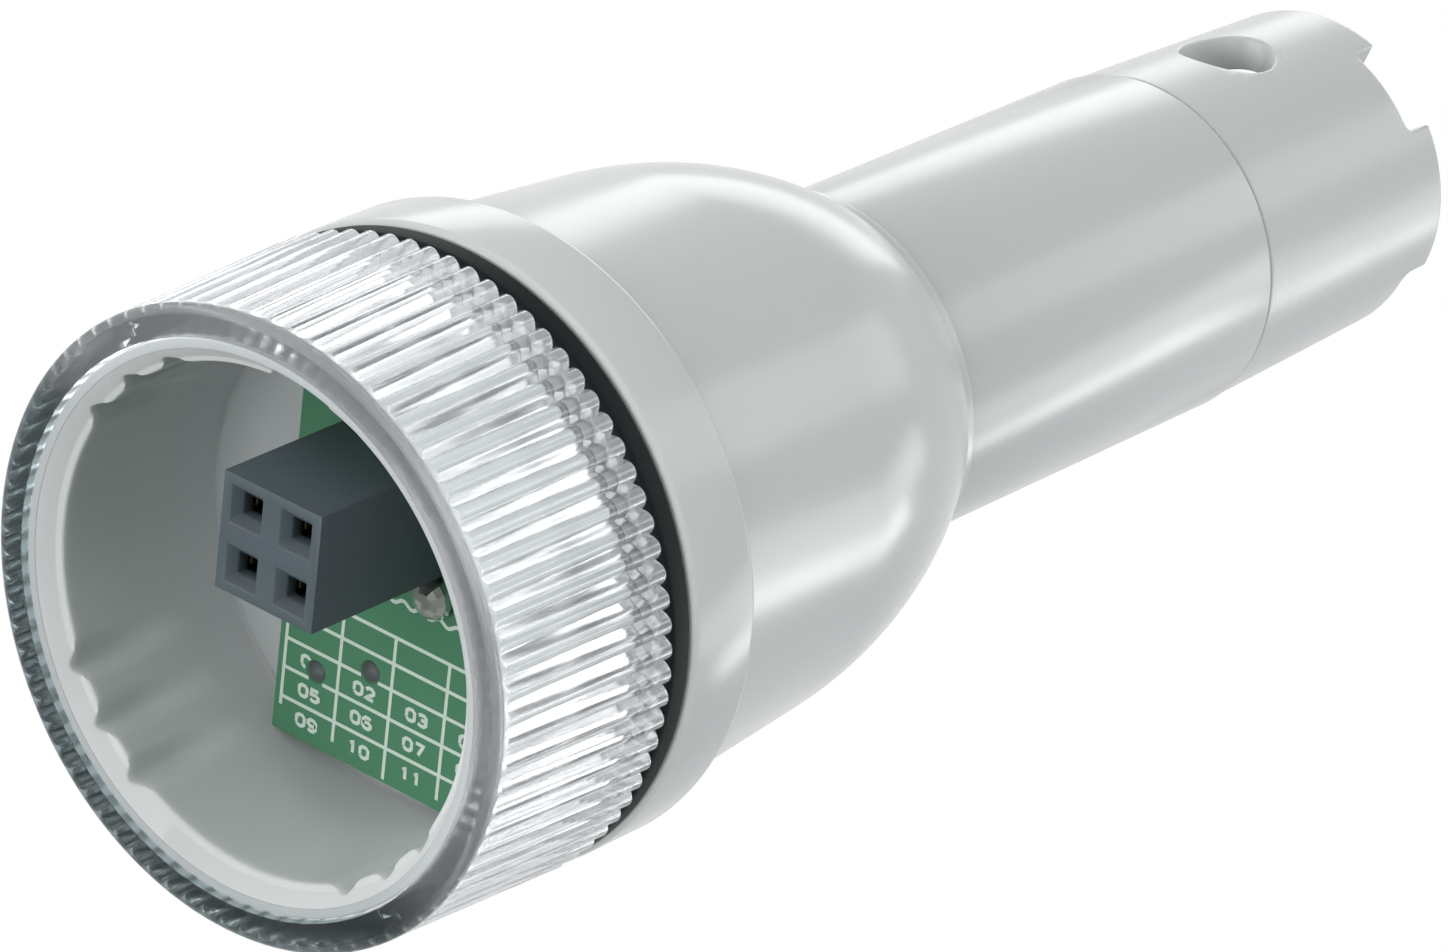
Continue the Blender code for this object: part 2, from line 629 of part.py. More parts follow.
def plug_holes():
    """Return where the four wires pass the rear plug.

    The first and the last lead to the thermistor, the second to the glass
    electrode and the third to the reference wire.
    """
    spread = 14.0
    return [
        polar(PROBE_OFFSET, GUARD_HOLE_ANGLE + 180.0 - spread),
        (0.0, 0.0),
        polar(PROBE_OFFSET, GUARD_HOLE_ANGLE),
        polar(PROBE_OFFSET, GUARD_HOLE_ANGLE + 180.0 + spread),
    ]


def make_glass_electrode(parts, material):
    """Make the glass tube and its thin bulb, which are blown in one piece."""
    inner_bulb = BULB_RADIUS - BULB_WALL
    inner_tube = GLASS_RADIUS - GLASS_WALL
    neck = math.asin(GLASS_RADIUS / BULB_RADIUS)
    inner_neck = math.asin(inner_tube / inner_bulb)
    rings = 5
    outer = []
    inner = []
    for step in range(rings + 1):
        share = step / rings
        angle = (math.pi - neck) * share
        outer.append((BULB_RADIUS * math.sin(angle), BULB_CENTRE_Z + BULB_RADIUS * math.cos(angle)))
        angle = (math.pi - inner_neck) * (1 - share)
        inner.append((inner_bulb * math.sin(angle), BULB_CENTRE_Z + inner_bulb * math.cos(angle)))
    outline = outer + [(GLASS_RADIUS, GLASS_REAR_Z), (inner_tube, GLASS_REAR_Z)] + inner
    outline[0] = (0.0, outline[0][1])
    outline[-1] = (0.0, outline[-1][1])
    return turned("glass_electrode", outline, parts, material, steps=20)


def make_inner_electrodes(parts, materials):
    """Make the pieces that reach into the stem: two silver wires, the junction and the thermistor."""
    plug_front = STEM_REAR_Z + PLUG_LENGTH
    wire_start = plug_front + FIT
    pieces = {}
    shape = bmesh.new()
    add_rod(shape, ELECTRODE_WIRE_RADIUS, wire_start, GLASS_WIRE_TIP_Z, segments=WIRE_TURN_STEPS)
    pieces["glass_inner_wire"] = (shape, materials["silver"])
    shape = bmesh.new()
    place = polar(PROBE_OFFSET, GUARD_HOLE_ANGLE)
    wire_end = SEAL_REAR_Z - JUNCTION_PROUD - REFERENCE_WIRE_GAP
    add_rod(shape, ELECTRODE_WIRE_RADIUS, wire_start, wire_end, place, WIRE_TURN_STEPS)
    pieces["reference_wire"] = (shape, materials["silver"])
    shape = bmesh.new()
    add_rod(shape, JUNCTION_RADIUS, SEAL_REAR_Z - JUNCTION_PROUD, SEAL_FRONT_Z + JUNCTION_PROUD, place, 16)
    pieces["reference_junction"] = (shape, materials["ceramic"])
    shape = bmesh.new()
    place = polar(PROBE_OFFSET, GUARD_HOLE_ANGLE + 180.0)
    tip_z = SEAL_FRONT_Z + THERMISTOR_PROUD
    shoulder_z = tip_z - THERMISTOR_RADIUS
    add_rod(shape, THERMISTOR_RADIUS, tip_z - THERMISTOR_LENGTH, shoulder_z, place, 16)
    add_rod(shape, THERMISTOR_RADIUS, shoulder_z, tip_z, place, 16, THERMISTOR_RADIUS / 2)
    bmesh.ops.remove_doubles(shape, verts=shape.verts, dist=MERGE)
    shared = [face for face in shape.faces if abs(face.calc_center_median().z - shoulder_z) < MERGE]
    bmesh.ops.delete(shape, geom=shared, context="FACES_ONLY")
    pieces["thermistor"] = (shape, materials["stainless"])
    return [link(name, finished_mesh(name, shape), parts, material) for name, (shape, material) in pieces.items()]


def make_circuit_board(parts, cutters, material):
    """Make the board, a strip with round ends that lies on the floor of the bore."""
    rim = BORE_RADIUS - BOARD_EDGE_GAP

    def end_y(x):
        """Return how far from the X axis the board's round edge is at x."""
        return math.sqrt(rim ** 2 - x ** 2)

    outline = []
    half = BOARD_END_HALF_WIDTH
    corners = (
        (BOARD_LEFT_X, -end_y(BOARD_LEFT_X)), (-half, -end_y(half)),
        (half, -end_y(half)), (BOARD_RIGHT_X, -end_y(BOARD_RIGHT_X)),
        (BOARD_RIGHT_X, end_y(BOARD_RIGHT_X)), (half, end_y(half)),
        (-half, end_y(half)), (BOARD_LEFT_X, end_y(BOARD_LEFT_X)),
    )
    for index in range(0, len(corners), 2):
        first = math.atan2(corners[index][1], corners[index][0])
        second = math.atan2(corners[index + 1][1], corners[index + 1][0])
        for step in range(5):
            angle = first + (second - first) * step / 4
            outline.append((rim * math.cos(angle), rim * math.sin(angle)))
    board = prism("circuit_board", outline, BOARD_Z, BOARD_BACK_Z, parts, material)
    shape = bmesh.new()
    low, high = BOARD_Z - MM, BOARD_BACK_Z + MM
    for place in VIA_PLACES:
        add_rod(shape, VIA_RADIUS, low, high, place, WIRE_TURN_STEPS)
    for place in WIRE_PADS:
        add_rod(shape, WIRE_HOLE_RADIUS, low, high, place, WIRE_TURN_STEPS)
    for place in contact_places():
        add_rod(shape, PIN_HOLE_RADIUS, low, high, place, WIRE_TURN_STEPS)
    cut(board, as_cutter(link("board_holes", finished_mesh("board_holes", shape), cutters)))
    return board


def contact_places():
    """Return the four contact positions of the header."""
    half = PITCH / 2
    return [(HEADER_X + sx * half, HEADER_Y + sy * half) for sy in (-1, 1) for sx in (-1, 1)]


def make_socket_header(parts, cutters, material):
    """Make the header block, with a funnel, an entry hole and a cell for each contact."""
    side = 2 * PITCH - 0.02 * MM
    rear_z = HEADER_FRONT_Z + HEADER_HEIGHT
    shape = bmesh.new()
    add_box(shape, (side, side, HEADER_HEIGHT), (HEADER_X, HEADER_Y, (HEADER_FRONT_Z + rear_z) / 2))
    header = link("socket_header", finished_mesh("socket_header", shape), parts, material)
    slope = (FUNNEL_SIDE - ENTRY_SIDE) / 2
    over = 0.2 * MM
    cell_front = HEADER_FRONT_Z + slope + HEADER_SKIN
    cell_rear = rear_z - HEADER_BASE
    pin_hole = PIN_SIDE + 2 * FIT
    stations = (
        (HEADER_FRONT_Z - over, FUNNEL_SIDE + 2 * over),
        (HEADER_FRONT_Z + slope, ENTRY_SIDE),
        (cell_front, ENTRY_SIDE),
        (cell_front, CELL_SIDE),
        (cell_rear, CELL_SIDE),
        (cell_rear, pin_hole),
        (rear_z + over, pin_hole),
    )
    for number, place in enumerate(contact_places(), start=1):
        cut(header, as_cutter(square_loft(f"contact_cell_{number}", stations, place, cutters)))
    return header


def make_contacts(parts, material):
    """Make the four spring contacts, each two leaves on a base with a pin through the board."""
    rear_z = HEADER_FRONT_Z + HEADER_HEIGHT
    cell_front = HEADER_FRONT_Z + (FUNNEL_SIDE - ENTRY_SIDE) / 2 + HEADER_SKIN
    floor_z = rear_z - HEADER_BASE - FIT
    leaf_front = cell_front + FIT
    pin_end = BOARD_BACK_Z + PIN_PROUD
    contacts = []
    half = CONTACT_SIDE / 2
    pin_half = PIN_SIDE / 2
    metal = CONTACT_METAL
    for number, (x, y) in enumerate(contact_places(), start=1):
        outline = [
            (-half, leaf_front), (-half + metal, leaf_front), (-half + metal, floor_z - metal),
            (half - metal, floor_z - metal), (half - metal, leaf_front), (half, leaf_front),
            (half, floor_z), (pin_half, floor_z), (pin_half, pin_end), (-pin_half, pin_end),
            (-pin_half, floor_z), (-half, floor_z),
        ]
        contact = prism(f"contact_{number}", outline, -pin_half, pin_half, parts, material)
        upright = Matrix(((1, 0, 0, x), (0, 0, -1, y), (0, 1, 0, 0), (0, 0, 0, 1)))
        contact.matrix_world = upright
        contacts.append(contact)
    return contacts


def make_solder_joints(parts, material):
    """Make the solder at each header pin behind the board and at each wire in front of it."""
    joints = []
    near = BOARD_BACK_Z + FIT
    for number, place in enumerate(contact_places(), start=1):
        outline = [
            (PIN_SIDE / math.sqrt(2) + FIT, near + SOLDER_HEIGHT),
            (SOLDER_RADIUS, near),
            (PIN_SIDE / math.sqrt(2) + FIT / 2, near),
        ]
        joint = turned(f"pin_solder_{number}", outline, parts, material, steps=12)
        joint.location = (place[0], place[1], 0.0)
        joints.append(joint)
    front = BOARD_Z - FIT
    for number, place in enumerate(WIRE_PADS, start=1):
        dome = [(0.0, front)]
        for step in range(5):
            angle = math.pi / 2 * step / 4
            dome.append((SOLDER_RADIUS * math.cos(angle), front - SOLDER_HEIGHT * math.sin(angle)))
        dome[-1] = (0.0, dome[-1][1])
        joint = turned(f"wire_solder_{number}", dome, parts, material, steps=12)
        joint.location = (place[0], place[1], 0.0)
        joints.append(joint)
    return joints


def make_potting(parts, cutters, material):
    """Make the potting that closes the wire bay behind the board."""
    radius = WIRE_BAY_RADIUS - FIT
    rear_z = POTTING_FRONT_Z + POTTING_LENGTH
    potting = turned("potting", [
        (0.0, rear_z), (radius, rear_z), (radius, POTTING_FRONT_Z), (0.0, POTTING_FRONT_Z),
    ], parts, material, steps=48)
    shape = bmesh.new()
    for place in WIRE_PADS:
        add_rod(shape, POTTING_CHANNEL_RADIUS, POTTING_FRONT_Z - MM, rear_z + MM, place, WIRE_TURN_STEPS)
    cut(potting, as_cutter(link("potting_channels", finished_mesh("potting_channels", shape), cutters)))
    return potting


def make_lead_wires(parts, materials):
    """Make the four leads from the board, through the potting, to the rear plug."""
    front = BOARD_Z
    rear = STEM_REAR_Z + PLUG_LENGTH
    leave_z = POTTING_FRONT_Z + POTTING_LENGTH + 0.6 * MM
    arrive_z = STEM_STOP_Z - 1.4 * MM
    wires = []
    for number, (pad, hole) in enumerate(zip(WIRE_PADS, plug_holes()), start=1):
        points = [Vector((*pad, front)), Vector((*pad, leave_z))]
        steps = 8
        for step in range(1, steps):
            share = step / steps
            ease = share * share * (3 - 2 * share)
            x = pad[0] + (hole[0] - pad[0]) * ease
            y = pad[1] + (hole[1] - pad[1]) * ease
            points.append(Vector((x, y, leave_z + (arrive_z - leave_z) * share)))
        points += [Vector((*hole, arrive_z)), Vector((*hole, rear))]
        curve = bpy.data.curves.new(f"lead_wire_{number}", "CURVE")
        curve.dimensions = "3D"
        curve.bevel_depth = WIRE_RADIUS
        curve.bevel_resolution = 2
        curve.use_fill_caps = True
        spline = curve.splines.new("POLY")
        spline.points.add(len(points) - 1)
        for point, place in zip(spline.points, points):
            point.co = (*place, 1.0)
        wire = bpy.data.objects.new(f"lead_wire_{number}", curve)
        curve.materials.append(materials[number - 1])
        parts.objects.link(wire)
        wires.append(wire)
    return wires


def main():
    """Build the whole electrode."""
    clear_scene()
    parts = make_collection("electrode")
    cutters = make_collection("cutters")
    clear_plastic = make_material("clear polycarbonate", (0.86, 0.88, 0.9), 0.08, alpha=0.35, transmission=1.0)
    grey_plastic = make_material("light grey plastic", (0.54, 0.56, 0.55), 0.32)
    rubber = make_material("black rubber", (0.012, 0.016, 0.018), 0.5)
    header_plastic = make_material("blue black plastic", (0.045, 0.065, 0.08), 0.5)
    board_green = make_material("green solder mask", (0.04, 0.2, 0.09), 0.4)
    epoxy = make_material("grey epoxy", (0.16, 0.17, 0.16), 0.5)
    solder = make_material("solder", (0.62, 0.62, 0.6), 0.25, metallic=1.0)
    gilt_bronze = make_material("gold plated bronze", (0.72, 0.5, 0.2), 0.3, metallic=1.0)
    glass = make_material("glass", (0.9, 0.93, 0.92), 0.02, alpha=0.35, transmission=1.0)
    materials = {
        "silver": make_material("silver wire", (0.6, 0.58, 0.56), 0.35, metallic=1.0),
        "ceramic": make_material("porous ceramic", (0.75, 0.72, 0.66), 0.8),
        "stainless": make_material("stainless steel", (0.56, 0.57, 0.58), 0.25, metallic=1.0),
    }
    lead_colours = [
        make_material(f"{name} lead insulation", colour, 0.45)
        for name, colour in (
            ("white", (0.7, 0.7, 0.68)), ("black", (0.02, 0.02, 0.02)),
            ("red", (0.45, 0.02, 0.02)), ("yellow", (0.6, 0.45, 0.03)),
        )
    ]
    make_coupling_ring(parts, cutters, clear_plastic)
    make_gasket(parts, rubber)
    make_housing(parts, cutters, grey_plastic)
    make_stem_tube(parts, grey_plastic)
    make_o_rings(parts, rubber)
    make_guard(parts, cutters, grey_plastic)
    make_front_seal(parts, cutters, epoxy)
    make_rear_plug(parts, cutters, rubber)
    make_glass_electrode(parts, glass)
    make_inner_electrodes(parts, materials)
    make_circuit_board(parts, cutters, board_green)
    make_socket_header(parts, cutters, header_plastic)
    make_contacts(parts, gilt_bronze)
    make_solder_joints(parts, solder)
    make_potting(parts, cutters, epoxy)
    make_lead_wires(parts, lead_colours)


main()
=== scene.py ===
"""Looks of a plug-in pH electrode with a clear coupling ring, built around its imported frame.

The electrode stands on its coupling ring with its sensing tip up, as the frame does.  Lengths are in metres.
"""

import logging
import math
from dataclasses import dataclass, field
from enum import Enum
from functools import cache
from typing import Sequence

import bmesh
import bpy
from mathutils import Matrix, Vector


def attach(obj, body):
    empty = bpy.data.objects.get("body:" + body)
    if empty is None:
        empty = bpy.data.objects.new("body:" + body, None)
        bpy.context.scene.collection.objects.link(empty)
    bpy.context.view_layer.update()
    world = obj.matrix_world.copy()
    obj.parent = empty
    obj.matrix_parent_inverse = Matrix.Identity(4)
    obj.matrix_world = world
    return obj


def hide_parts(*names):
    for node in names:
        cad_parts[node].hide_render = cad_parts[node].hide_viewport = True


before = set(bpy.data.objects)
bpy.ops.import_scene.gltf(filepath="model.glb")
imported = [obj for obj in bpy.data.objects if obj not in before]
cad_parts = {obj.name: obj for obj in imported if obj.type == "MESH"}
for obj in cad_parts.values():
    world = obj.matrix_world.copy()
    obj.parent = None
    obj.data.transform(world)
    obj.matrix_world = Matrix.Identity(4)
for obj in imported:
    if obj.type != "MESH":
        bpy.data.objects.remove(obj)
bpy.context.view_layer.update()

log = logging.getLogger("electrode")

MM = 0.001
SQUARE = ((-1, -1), (1, -1), (1, 1), (-1, 1))

Item = bpy.types.Object
Material = bpy.types.Material
Node = bpy.types.Node
Socket = bpy.types.NodeSocket
Outputs = bpy.types.bpy_prop_collection
Tree = bpy.types.NodeTree
Colour = tuple[float, float, float]
Outline = list[tuple[float, float]]
Loop = list[Vector]


class Body(Enum):
    """The two rigid bodies of the frame."""

    ELECTRODE = "electrode_body"
    RING = "ring"


class Surface(Enum):
    """Mould textures a plastic can have, as the scale and the depth of the grain."""

    POLISHED = (9000.0, 0.4e-6)
    SATIN = (7000.0, 1.2e-6)
    SPARKED = (5000.0, 6.0e-6)


# Shape helpers


def polar(radius: float, degrees: float, z: float = 0.0) -> Vector:
    """Return the point at a radius, an angle about Z and a height."""
    angle = math.radians(degrees)
    return Vector((radius * math.cos(angle), radius * math.sin(angle), z))


def smooth_step(low: float, high: float, value: float) -> float:
    """Return 0 below low and 1 above high, with a smooth rise between them."""
    share = min(1.0, max(0.0, (value - low) / (high - low)))
    return share * share * (3.0 - 2.0 * share)


def soft_maximum(first: float, second: float, blend: float) -> float:
    """Return the larger of two values, rounded over where they are closer than the blend."""
    gap = max(0.0, blend - abs(first - second))
    return max(first, second) + gap * gap / (4.0 * blend)


def filleted(corners: Sequence[tuple[float, float, float]], segments: int = 5, closed: bool = True) -> Outline:
    """Round the corners of an outline.

    Args:
        corners: Points as (x, y, fillet radius).
        segments: Segments in each fillet.
        closed: Whether the last corner joins the first.

    Returns:
        The outline's points, in order.
    """
    outline: Outline = []
    count = len(corners)
    for index, (x, y, radius) in enumerate(corners):
        at_end = not closed and index in (0, count - 1)
        if radius <= 0.0 or at_end:
            outline.append((x, y))
            continue
        here = Vector((x, y))
        before = Vector(corners[index - 1][:2])
        after = Vector(corners[(index + 1) % count][:2])
        to_before = (before - here).normalized()
        to_after = (after - here).normalized()
        half = to_before.angle(to_after) / 2.0
        limit = 0.49 * min((before - here).length, (after - here).length)
        reach = min(radius / math.tan(half), limit)
        true_radius = reach * math.tan(half)
        centre = here + (to_before + to_after).normalized() * (true_radius / math.sin(half))
        start = here + to_before * reach - centre
        end = here + to_after * reach - centre
        turn = start.angle_signed(end)
        for step in range(segments + 1):
            point = centre + Matrix.Rotation(-turn * step / segments, 2) @ start
            outline.append((point.x, point.y))
    return outline


def from_bmesh(name: str, shape: bmesh.types.BMesh) -> Item:
    """Make a linked object of a bmesh, and free the bmesh."""
    mesh = bpy.data.meshes.new(name)
    shape.to_mesh(mesh)
    shape.free()
    item = bpy.data.objects.new(name, mesh)
    bpy.context.scene.collection.objects.link(item)
    return item


def loft(name: str, loops: Sequence[Loop], capped: bool = False) -> Item:
    """Skin a row of closed loops that all have the same number of points.

    Args:
        name: Name of the object and its mesh.
        loops: The loops, in order.
        capped: Whether both ends are closed with a face.  If not, the last loop is joined to the first.

    Returns:
        The object, linked to the scene.
    """
    shape = bmesh.new()
    rows = [[shape.verts.new(point) for point in loop] for loop in loops]
    pairs = list(zip(rows, rows[1:]))
    if not capped:
        pairs.append((rows[-1], rows[0]))
    count = len(rows[0])
    for lower, upper in pairs:
        for index in range(count):
            after = (index + 1) % count
            shape.faces.new((lower[index], lower[after], upper[after], upper[index]))
    if capped:
        shape.faces.new(list(reversed(rows[0])))
        shape.faces.new(rows[-1])
    bmesh.ops.recalc_face_normals(shape, faces=shape.faces)
    return from_bmesh(name, shape)


def turned_loops(outline: Outline, steps: int, centre: tuple[float, float] = (0.0, 0.0)) -> list[Loop]:
    """Return the loops of an (r, z) outline turned about an upright axis."""
    base = Vector((*centre, 0.0))
    return [[polar(radius, 360.0 * step / steps, z) + base for step in range(steps)] for radius, z in outline]


def smooth(item: Item, sharp_degrees: float = 35.0) -> Item:
    """Shade an object smooth, apart from edges sharper than an angle."""
    item.data.polygons.foreach_set("use_smooth", [True] * len(item.data.polygons))
    item.data.set_sharp_from_angle(angle=math.radians(sharp_degrees))
    return item


def settled(item: Item) -> Item:
    """Apply an object's modifiers to its mesh."""
    bpy.context.view_layer.update()
    graph = bpy.context.evaluated_depsgraph_get()
    mesh = bpy.data.meshes.new_from_object(item.evaluated_get(graph))
    mesh.name = item.name
    item.modifiers.clear()
    item.data = mesh
    return item


def carved(item: Item, cutters: Sequence[Item]) -> Item:
    """Cut other objects out of an object, and delete them."""
    for cutter in cutters:
        modifier = item.modifiers.new(cutter.name, "BOOLEAN")
        modifier.operation = "DIFFERENCE"
        modifier.solver = "EXACT"
        modifier.object = cutter
    settled(item)
    for cutter in cutters:
        bpy.data.objects.remove(cutter, do_unlink=True)
    return item


def eased(item: Item, width: float, segments: int, degrees: float) -> Item:
    """Round the edges of an object that are sharper than an angle by a width."""
    modifier = item.modifiers.new("Eased edges", "BEVEL")
    modifier.width = width
    modifier.segments = segments
    modifier.limit_method = "ANGLE"
    modifier.angle_limit = math.radians(degrees)
    return settled(item)


def painted(item: Item, material: Material) -> Item:
    """Give an object one material."""
    item.data.materials.clear()
    item.data.materials.append(material)
    return item


def dressed(item: Item, finish: "Finish", replaces: Sequence[str] = (),
            body: Body = Body.ELECTRODE) -> Item:
    """Give a piece its looks and its place in the frame.

    Args:
        item: The piece.
        finish: Its finish.
        replaces: The CAD nodes that it stands for, which are hidden.
        body: The rigid body that it rides on.

    Returns:
        The piece.
    """
    painted(item, finish.material())
    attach(item, body.value)
    if replaces:
        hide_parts(*replaces)
    return item


# Materials


class NodeTree:
    """A node tree that is filled with short calls."""

    def __init__(self, tree: Tree) -> None:
        """Hold a tree."""
        self.tree = tree

    def fill(self, node: Node, inputs: dict[str | int, object]) -> Node:
        """Set or link a node's inputs.

        Args:
            node: The node.
            inputs: Values, colours without alpha, or output sockets to link, by input name or number.

        Returns:
            The node.
        """
        for key, value in inputs.items():
            socket = node.inputs[key]
            if isinstance(value, Socket):
                self.tree.links.new(value, socket)
            else:
                socket.default_value = (*value, 1.0) if socket.type == "RGBA" else value
        return node

    def add(self, kind: str, inputs: dict[str | int, object] | None = None, **settings: object) -> Node:
        """Add a shader node with some settings, and set or link its inputs."""
        node = self.tree.nodes.new("ShaderNode" + kind)
        for name, value in settings.items():
            setattr(node, name, value)
        return self.fill(node, inputs or {})

    def group(self, tree: Tree, **inputs: object) -> Outputs:
        """Add a node group and return its outputs."""
        return self.add("Group", inputs, node_tree=tree).outputs

    def place(self) -> Socket:
        """Add the object coordinates and return them."""
        return self.add("TexCoord").outputs["Object"]

    def noise(self, place: Socket, scale: object, detail: float, roughness: float, distortion: float = 0.0
              ) -> Socket:
        """Add a noise texture and return its value."""
        return self.add("TexNoise", {
            "Vector": place, "Scale": scale, "Detail": detail, "Roughness": roughness, "Distortion": distortion,
        }).outputs["Fac"]

    def math(self, operation: str, first: object, second: object = 0.0, third: object = 0.0
             ) -> Socket:
        """Add a Math node and return its value."""
        return self.add("Math", {0: first, 1: second, 2: third}, operation=operation).outputs["Value"]

    def vector(self, operation: str, first: Socket, second: tuple[float, ...] = (0.0, 0.0, 0.0)) -> Node:
        """Add a Vector Math node and return it."""
        return self.add("VectorMath", {0: first, 1: second}, operation=operation)

    def span(self, value: Socket, low: float, high: float, at_low: float, at_high: float, smooth: bool = True
             ) -> Socket:
        """Add a Map Range node from two values to two results, and return its result."""
        return self.add("MapRange", {0: value, 1: low, 2: high, 3: at_low, 4: at_high},
                        interpolation_type="SMOOTHSTEP" if smooth else "LINEAR").outputs["Result"]

    def blend(self, share: Socket, first: object, second: object) -> Socket:
        """Add a colour mix and return its colour."""
        return self.add("Mix", {0: share, 6: first, 7: second}, data_type="RGBA").outputs[2]

    def mix(self, share: Socket, first: Socket, second: Socket) -> Socket:
        """Add a mix of two values and return its value."""
        return self.add("Mix", {0: share, 2: first, 3: second}).outputs[0]

    def surface(self, share: Socket, first: Node, second: Node, output: str = "Material Output") -> None:
        """Send the mix of two shaders to the tree's output."""
        mix = self.add("MixShader", {0: share, 1: first.outputs[0], 2: second.outputs[0]})
        self.fill(self.tree.nodes[output], {"Surface": mix.outputs[0]})


class Effects:
    """The shader node groups that materials share, each made once."""

    def _group(self, name: str, inputs: dict[str, object], outputs: Sequence[str]
               ) -> tuple[NodeTree, Outputs | None, Node]:
        """Make an empty group.

        Args:
            name: The group's name.
            inputs: Its inputs, with a default number or colour.
            outputs: Its outputs.  Color and Tint are colours.

        Returns:
            Its tree, its inputs as seen from the inside if it has any, and its output node.
        """
        tree = bpy.data.node_groups.new(name, "ShaderNodeTree")
        for socket, value in inputs.items():
            kind = "NodeSocketColor" if isinstance(value, tuple) else "NodeSocketFloat"
            tree.interface.new_socket(socket, in_out="INPUT", socket_type=kind).default_value = value
        for socket in outputs:
            kind = "NodeSocketColor" if socket in ("Color", "Tint") else "NodeSocketFloat"
            tree.interface.new_socket(socket, in_out="OUTPUT", socket_type=kind)
        given = tree.nodes.new("NodeGroupInput").outputs if inputs else None
        return NodeTree(tree), given, tree.nodes.new("NodeGroupOutput")

    @cache
    def mottle(self) -> Tree:
        """Return the group that varies a colour and a roughness softly over a surface."""
        nodes, given, sink = self._group("soft mottle", {
            "Scale": 300.0, "Base": (0.5, 0.5, 0.5, 1.0), "Tint": (0.4, 0.4, 0.4, 1.0), "Amount": 0.5,
            "Roughness": 0.4, "Spread": 0.1,
        }, ("Color", "Roughness"))
        noise = nodes.noise(nodes.place(), given["Scale"], 4.0, 0.55)
        share = nodes.math("MULTIPLY", noise, given["Amount"])
        spread = nodes.math("MULTIPLY", nodes.math("SUBTRACT", noise, 0.5), given["Spread"])
        nodes.fill(sink, {
            "Color": nodes.blend(share, given["Base"], given["Tint"]),
            "Roughness": nodes.math("ADD", spread, given["Roughness"]),
        })
        return nodes.tree

    @cache
    def grain(self) -> Tree:
        """Return the group that makes the height of a fine moulded grain."""
        nodes, given, sink = self._group("moulded grain", {"Scale": 6000.0}, ("Height",))
        place = nodes.place()
        fine = nodes.noise(place, given["Scale"], 2.0, 0.6)
        wide = nodes.noise(place, nodes.math("MULTIPLY", given["Scale"], 0.16), 1.0, 0.5)
        nodes.fill(sink, {"Height": nodes.math("ADD", fine, nodes.math("MULTIPLY", wide, 0.3))})
        return nodes.tree

    @cache
    def mouth(self) -> Tree:
        """Return the group that finds the parts of the housing's mouth, where its painted light and painted
        shade go.

        Returns:
            A group with masks Rim, Bore and Floor: painted light goes on the rim, a plain grey in the bore and
                painted shade on the floor.  The floor's mask is 1 on the neck's front land too, which gets the
                same painted shade.
        """
        nodes, _, sink = self._group("housing mouth", {}, ("RimPaintedLight", "Bore", "FloorPaintedShade"))
        axes = nodes.add("SeparateXYZ", {"Vector": nodes.place()}).outputs
        depth = axes["Z"]
        across = nodes.add("CombineXYZ", {0: axes["X"], 1: axes["Y"]}).outputs["Vector"]
        radius = nodes.vector("LENGTH", across).outputs["Value"]
        slope = nodes.span(depth, 0.25 * MM, 1.2 * MM, 11.29 * MM, 10.5 * MM, smooth=False)
        on_slope = nodes.span(nodes.math("SUBTRACT", radius, slope), 0.15 * MM, 0.45 * MM, 1.0, 0.0)
        near_front = nodes.span(depth, 0.95 * MM, 1.5 * MM, 1.0, 0.0)
        behind_land = nodes.span(depth, 0.26 * MM, 0.3 * MM, 0.0, 1.0)
        inside = nodes.span(radius, 11.65 * MM, 11.68 * MM, 1.0, 0.0)
        shallow = nodes.span(depth, 11.6 * MM, 12.0 * MM, 1.0, 0.0)
        deep = nodes.span(depth, 9.7 * MM, 9.9 * MM, 0.0, 1.0)
        bore = nodes.math("MULTIPLY", inside, shallow)
        flat = nodes.math("MAXIMUM", deep, nodes.math("SUBTRACT", 1.0, behind_land))
        # The rim's mask carries painted light, and the floor's mask, front land included, carries painted
        # shade.
        nodes.fill(sink, {
            "RimPaintedLight": nodes.math("MULTIPLY", nodes.math("MULTIPLY", on_slope, near_front), behind_land),
            "Bore": bore, "FloorPaintedShade": nodes.math("MULTIPLY", bore, flat),
        })
        return nodes.tree

    @cache
    def frost_and_painted_shade(self) -> Tree:
        """Return the group that frosts the ring's bevel and the first stretch of its ribs, and paints shade
        onto one side of its front.

        Returns:
            A group that puts out Roughness and Tint.  Its darker colour input is painted shade on the front
            face and the bevel on one side of the ring, standing in for the dark surroundings seen through the
            clear plastic.
        """
        nodes, given, sink = self._group("frosted bevel", {
            "Smooth": 0.05, "Ribs": 0.1, "Frosted": 0.4,
            "Clear": (0.9, 0.9, 0.9, 1.0), "Dark": (0.1, 0.14, 0.145, 1.0),
        }, ("Roughness", "Tint"))
        place = nodes.place()
        axes = nodes.add("SeparateXYZ", {"Vector": place}).outputs
        height = axes["Z"]
        ragged = nodes.math("MULTIPLY_ADD", nodes.noise(place, 2500.0, 2.0, 0.5), 0.5 * MM, -0.25 * MM)
        fade = nodes.span(nodes.math("ADD", height, ragged), 0.3 * MM, 1.3 * MM, 1.0, 0.0)
        behind_face = nodes.span(height, 0.004 * MM, 0.03 * MM, 0.0, 1.0)
        outside = nodes.mix(fade, given["Ribs"], given["Frosted"])
        # Painted shade: the tint darkens one side of the ring near its front.
        across = nodes.math("MULTIPLY_ADD", axes["Y"], 0.8, nodes.math("MULTIPLY", axes["X"], -0.6))
        painted_shade_side = nodes.span(across, -2.0 * MM, 2.6 * MM, 0.0, 1.0)
        near_front = nodes.span(height, 0.3 * MM, 0.7 * MM, 1.0, 0.0)
        share = nodes.math("MULTIPLY", painted_shade_side, near_front)
        nodes.fill(sink, {
            "Roughness": nodes.mix(behind_face, given["Smooth"], outside),
            "Tint": nodes.blend(share, given["Clear"], given["Dark"]),
        })
        return nodes.tree

